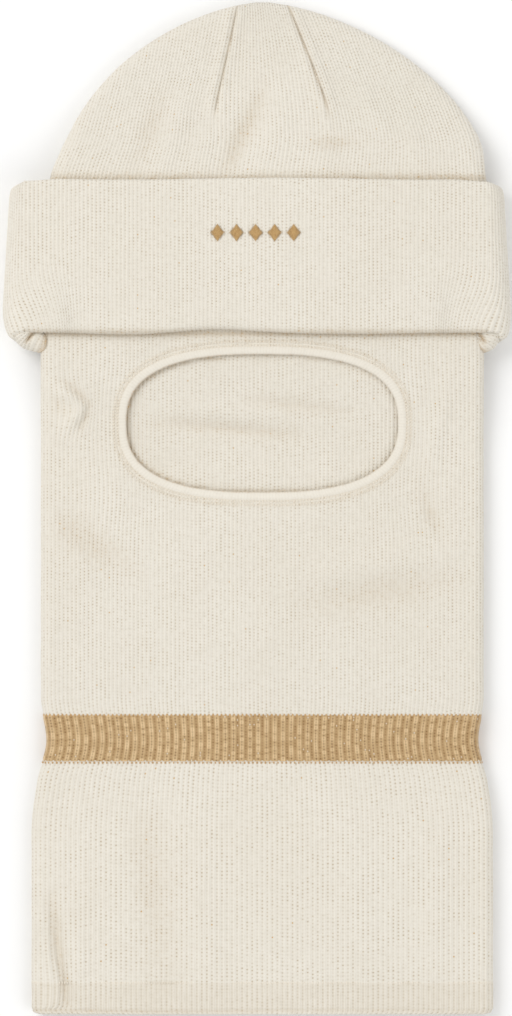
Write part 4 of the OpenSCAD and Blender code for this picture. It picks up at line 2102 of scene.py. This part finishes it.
    def fold(self, side: Side) -> bpy.types.Object:
        """The rounded fold at one side, with its curled lower corner.

        Args:
            side: Which side.

        Returns:
            The piece.
        """
        lay = self.lay
        edge_r = lay.cuff_t / 2
        turn = np.linspace(math.pi / 2, -math.pi / 2, self.side_wales * FINENESS + 1)
        bottom = np.linspace(-math.pi / 2, math.pi / 2, 7)
        share = np.linspace(0, 1, 44)
        depth = np.concatenate(
            [edge_r - edge_r * np.sin(bottom), np.zeros(42), edge_r - edge_r * np.cos(
                np.linspace(0, math.pi, 7)), np.full(42, lay.cuff_t)]
        )
        along = np.concatenate(
            [np.zeros(7), share[1:-1], np.ones(7), share[-2:0:-1]]
        )
        swell = np.concatenate(
            [-edge_r * np.cos(bottom), np.zeros(42), edge_r * np.sin(
                np.linspace(0, math.pi, 7)), np.zeros(42)]
        )
        t, d = np.meshgrid(turn, depth, indexing="xy")
        a = np.broadcast_to(along[:, None], t.shape)
        s = np.broadcast_to(swell[:, None], t.shape)
        front = ease((np.sin(t) - 0.25) / 0.75)
        cosine = np.cos(t)
        y_low = lay.y_cuff_low - self.sag * (1 - front) * (1 - 0.6 * cosine**3) + edge_r
        y_high = lay.y_cuff_top - self.top_slope - self.corner_slope * cosine - edge_r
        y = mix(y_low, y_high, a) + s
        width = np.maximum(self.side_width(y, side), 5.0)
        x = lay.side_x + (width - d) * np.sign(cosine) * np.abs(cosine) ** 0.9
        z = lay.h_cuff + (lay.h_cuff - d) * np.sin(t)
        bulge = np.sin(math.pi * np.clip(cosine, 0, 1))
        curl = front * bell((y - lay.y_cuff_low - 2) / 6.0) * bulge
        z = z - 0.6 * curl
        points = np.stack([side.value * x, y, z], axis=-1)
        course = np.broadcast_to(
            np.concatenate([[0], np.cumsum(np.hypot(np.diff(y[:, 0]), np.diff(depth)))])[:, None]
            / COURSE, t.shape
        )
        wale = np.arange(len(turn)) / FINENESS + 0.5 + self.lean_in(x, y) * np.sin(t)
        grid = KnitGrid(points, wale, course, round_rows=True)
        if side is Side.LEFT:
            grid = mirrored(grid)
        name = side.name.lower()
        piece = knit_roll(f"cuff_side_{name}_knit", grid)
        self.shop.knit(piece, CREAM, drift=0.4, size=9.0, seed=31.0 + side.value)
        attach(piece, f"cuff_{name}_fold")
        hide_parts(f"cuff_side_{name}")
        return piece

    def heel(self, side: Side) -> bpy.types.Object:
        """The curled corner under a side fold, a soft roll of knit round to the tube.

        Args:
            side: Which side.

        Returns:
            The piece.
        """
        lay = self.lay
        route = smooth_route(np.array(self.heel_edge), 10)
        outer, inner = route[:, 0].max(), route[-1, 0]
        room = outer - (lay.tube_half + side.value * lay.shift + GAP)
        narrowing = room / (outer - inner)
        route[:, 0] = outer - (outer - route[:, 0]) * narrowing
        edge, radius = route[:, :3], route[:, 3] * min(narrowing + 0.1, 1.0)
        tangent = np.gradient(edge, axis=0)
        tangent[:, 2] = 0
        tangent /= np.linalg.norm(tangent, axis=1, keepdims=True)
        out = np.cross(tangent, (0.0, 0.0, -1.0))
        out *= np.sign((out * (1.0, -1.0, 0.0)).sum(axis=1))[:, None]
        up = np.array((0.0, 0.0, 1.0))
        centre = edge - out * radius[:, None]
        turn = np.linspace(0, 2 * math.pi, 49)[:-1][:, None, None]
        ring = out * np.cos(turn) + up * np.sin(turn)
        points = centre + ring * radius[:, None]
        for share in self.cap_shares:
            cap = centre[-1] + (points[:, len(edge) - 1] - centre[-1]) * share
            points = np.concatenate([points, cap[:, None]], axis=1)
        over = np.clip(points[..., 2] - lay.tube_mid(points[..., 1]), 0, 0.9 * lay.h_tube)
        hollow = lay.h_tube - np.sqrt(lay.h_tube**2 - over**2)
        points[..., 0] -= hollow * ease(1 - (points[..., 0] - points[0, -1, 0]) / 5.0)
        above = np.clip(np.sin(turn[..., 0]), 0, 1)
        fold = self.heel_fold.rise(points[..., 0], points[..., 1]) * above
        points[..., 2] -= fold
        points[..., 0] *= side.value
        run = np.concatenate([[0], np.cumsum(np.linalg.norm(np.diff(edge, axis=0), axis=1))])
        run = np.concatenate([run, run[-1] + np.arange(1, len(self.cap_shares) + 1)])
        shape = points.shape[:2]
        wale = np.broadcast_to(run / WALE, shape)
        course = np.broadcast_to(turn[..., 0] * radius.mean() / COURSE, shape)
        # Painted shade in the heel's fold and where it meets the tube.
        shade_at_tube = np.broadcast_to(bell((run - run[len(edge) - 1] - 0.3) / 2.2), shape)
        painted_shade = np.clip(fold / self.heel_fold.height + shade_at_tube, 0, 1)
        grid = KnitGrid(points, wale, course, painted_shade=painted_shade, round_rows=True)
        if side is Side.RIGHT:
            grid = mirrored(grid)
        name = side.name.lower()
        piece = knit_roll(f"cuff_heel_{name}_knit", grid)
        self.shop.knit(piece, CORNER, rib=0.1, drift=0.5, size=6.0, seed=41.0 + side.value)
        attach(piece, f"cuff_{name}_fold")
        return piece

    def embroidery(self) -> bpy.types.Object:
        """A row of small diamonds in satin stitch.

        Returns:
            The piece.
        """
        lo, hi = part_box("embroidered_emblem")
        middle_y, z = (lo.y + hi.y) / 2 / MM, lo.z / MM + 0.35
        half = self.diamond_size / 2
        step = (hi.x - lo.x) / MM - self.diamond_size
        lines, ups, reaches = [], [], []
        for k in range(self.diamonds):
            x = (lo.x / MM + half) + step * k / (self.diamonds - 1)
            y = np.linspace(-half + 0.2, half - 0.2, 21)
            share = 1 - np.abs(y) / half
            dome = 0.3 * np.sqrt(share)
            lines.append(np.column_stack([np.full(21, x), middle_y + y, z + dome]))
            ups.append(np.tile([0.0, 0.0, 1.0], (21, 1)))
            reaches.append(share)
        piece = self.shop.stitches(
            "embroidered_diamonds", lines, ups, TAN_THREAD, reaches=reaches, Pitch=0.52,
            Length=self.diamond_size, Width=0.66, Height=0.8, Turn=90.0, Unevenness=0.05, Seed=6,
        )
        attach(piece, "cuff_front_flap")
        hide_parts("embroidered_emblem")
        return piece

    def build(self) -> None:
        """Builds the cuff."""
        for half in Half:
            report(self.flap(half))
        for side in Side:
            report(self.fold(side))
            report(self.heel(side))
        report(self.embroidery())


def smooth_route(stops: np.ndarray, steps: int) -> np.ndarray:
    """A smooth line through given stops.

    Args:
        stops: The stops, one row each.
        steps: How many pieces each stretch between two stops has.

    Returns:
        The line's points, one row each.
    """
    padded = np.vstack([2 * stops[0] - stops[1], stops, 2 * stops[-1] - stops[-2]])
    rows = []
    for a, b, c, d in zip(padded, padded[1:], padded[2:], padded[3:]):
        for t in np.linspace(0, 1, steps, endpoint=False):
            rows.append(
                0.5 * (2 * b + (c - a) * t + (2 * a - 5 * b + 4 * c - d) * t**2
                       + (3 * b - a - 3 * c + d) * t**3)
            )
    return np.vstack([rows, stops[-1:]])


@dataclass
class Trim:
    """The small trim: the loops beside the band, the hem's stitches and the label."""

    body: Body
    loops_round: int = 216

    def round_line(self, y: float, extra: float) -> tuple[np.ndarray, np.ndarray]:
        """A line right round the body.

        Args:
            y: Its place along, mm.
            extra: How far outside the body's surface, mm.

        Returns:
            The points, and which way is outwards at each.
        """
        lay = self.body.lay
        turn = np.linspace(-1, 3, 481)[:-1]
        half = lay.body_half(np.full(turn.shape, y))
        near = round_section(lay, np.full(turn.shape, y), turn, half, extra)
        far = round_section(lay, np.full(turn.shape, y), turn, half, extra + 1)
        return near, far - near

    def row(
        self, name: str, node: str | None, y: float, extra: float, finish: ThreadFinish,
        body: str, **sizes: float,
    ) -> None:
        """Lays one row of stitches right round the body.

        Args:
            name: The piece's name.
            node: The frame node it replaces, or None.
            y: Its place along, mm.
            extra: How far outside the body's surface, mm.
            finish: The thread.
            body: The frame body it moves with.
            sizes: The stitches' sizes.
        """
        line, up = self.round_line(y, extra)
        piece = self.body.shop.stitches(name, [line], [up], finish, closed=True, **sizes)
        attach(piece, body)
        if node:
            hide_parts(node)
        report(piece)

    def label(self) -> bpy.types.Object:
        """The blank care label inside the back.

        Returns:
            The piece.
        """
        lo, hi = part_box("care_label")
        xs = np.linspace(lo.x, hi.x, 25) / MM
        ys = np.linspace(lo.y, hi.y, 19) / MM
        y, x = np.meshgrid(ys, xs, indexing="ij")
        z = hi.z / MM + 0.12 * np.sin(x / 4.0) * np.sin((y - ys[0]) / 7.0)
        grid = KnitGrid(np.stack([x, y, z], axis=-1), x, y)
        piece = knit_sheet("blank_care_label", grid, 0.4)
        piece.data.materials.append(self.body.shop.material(SATIN))
        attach(piece, "neck")
        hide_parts("care_label")
        return piece

    def build(self) -> None:
        """Builds the trim."""
        lay = self.body.lay
        around = 4 * (lay.body_half(np.array(lay.y_fold)) + 2.8)
        pitch = around / self.loops_round
        self.row("hem_chain_stitches", "hem_stitching", lay.y_hem + 0.1, 0.02, CREAM_THREAD,
                 "neck", Pitch=1.25, Length=1.5, Width=0.7, Height=0.35, Turn=90.0, Seed=3)
        self.row("band_lower_loops", None, lay.y_fold + 0.7, 0.15, TAN_LOOP, "hood",
                 Pitch=pitch, Length=0.95, Width=1.0, Height=0.8, Turn=0.0, Seed=8)
        self.row("band_upper_loops", None, lay.y_band_top + 0.15, 0.05, TAN_LOOP, "hood",
                 Pitch=pitch, Length=1.7, Width=1.1, Height=0.8, Turn=90.0, Seed=5)
        self.row("band_cream_loops", None, lay.y_fold + 1.55, 0.1, CREAM_THREAD, "hood",
                 Pitch=pitch, Length=1.1, Width=0.8, Height=0.7, Turn=0.0, Seed=7)
        report(self.label())


# ------------------------------------------------------------------ the studio


@dataclass
class Studio:
    """The pale floor, the soft lights and the camera straight above."""

    lay: Lay
    lens: float = 200.0
    sensor: float = 36.0
    framed: float = 481.6
    floor_size: float = 6.0
    floor_drop: float = 0.9

    def floor(self) -> None:
        """Makes the floor."""
        size = self.floor_size / 2
        drop = -self.floor_drop * MM
        corners = [(-size, -size), (size, -size), (size, size), (-size, size)]
        mesh = bpy.data.meshes.new("studio_floor")
        mesh.from_pydata([(x, y, drop) for x, y in corners], [], [(0, 1, 2, 3)])
        floor = bpy.data.objects.new("studio_floor", mesh)
        bpy.context.scene.collection.objects.link(floor)
        material = bpy.data.materials.new("Pale floor")
        material.use_nodes = True
        shader = material.node_tree.nodes["Principled BSDF"]
        shader.inputs["Base Color"].default_value = (0.93, 0.93, 0.925, 1)
        shader.inputs["Roughness"].default_value = 0.9
        shader.inputs["Specular IOR Level"].default_value = 0.1
        floor.data.materials.append(material)

    def light(
        self, name: str, place: tuple[float, float, float], size: float, power: float
    ) -> None:
        """Adds a soft square light that faces the object.

        Args:
            name: The light's name.
            place: Where it is, m.
            size: Its side, m.
            power: Its power, W.
        """
        data = bpy.data.lights.new(name, "AREA")
        data.size = size
        data.energy = power
        lamp = bpy.data.objects.new(name, data)
        lamp.location = place
        lamp.rotation_euler = (-Vector(place)).to_track_quat("-Z", "Y").to_euler()
        bpy.context.scene.collection.objects.link(lamp)

    def camera(self) -> None:
        """Sets the camera straight above the object."""
        data = bpy.data.cameras.new("camera")
        data.lens = self.lens
        data.sensor_fit = "VERTICAL"
        data.sensor_height = self.sensor
        data.clip_end = 50
        camera = bpy.data.objects.new("camera", data)
        distance = self.framed * MM * self.lens / self.sensor
        camera.location = (0.2 * MM, 0, self.lay.h_cuff * MM + distance)
        bpy.context.scene.collection.objects.link(camera)
        bpy.context.scene.camera = camera

    def build(self) -> None:
        """Builds the studio."""
        self.camera()
        self.floor()
        self.light("key_light", (-1.3, 0.8, 1.9), 1.4, 24)
        self.light("fill_light", (1.6, -0.9, 1.9), 1.8, 12)
        world = bpy.data.worlds.new("studio_air")
        world.use_nodes = True
        background = world.node_tree.nodes["Background"]
        background.inputs["Color"].default_value = (1, 1, 1, 1)
        background.inputs["Strength"].default_value = 0.72
        bpy.context.scene.world = world
        bpy.context.scene.view_settings.view_transform = "Standard"


def main() -> None:
    """Builds the balaclava's pieces in order and dresses them."""
    logging.basicConfig(level=logging.INFO, format="%(name)s: %(message)s")
    lay = Lay.from_frame()
    shop = Workshop()
    Studio(lay).build()
    body = Body(lay, shop)
    body.build()
    Opening(body).build()
    Beanie(lay, shop).build()
    Cuff(lay, shop).build()
    Trim(body).build()


if __name__ == "__main__":
    main()
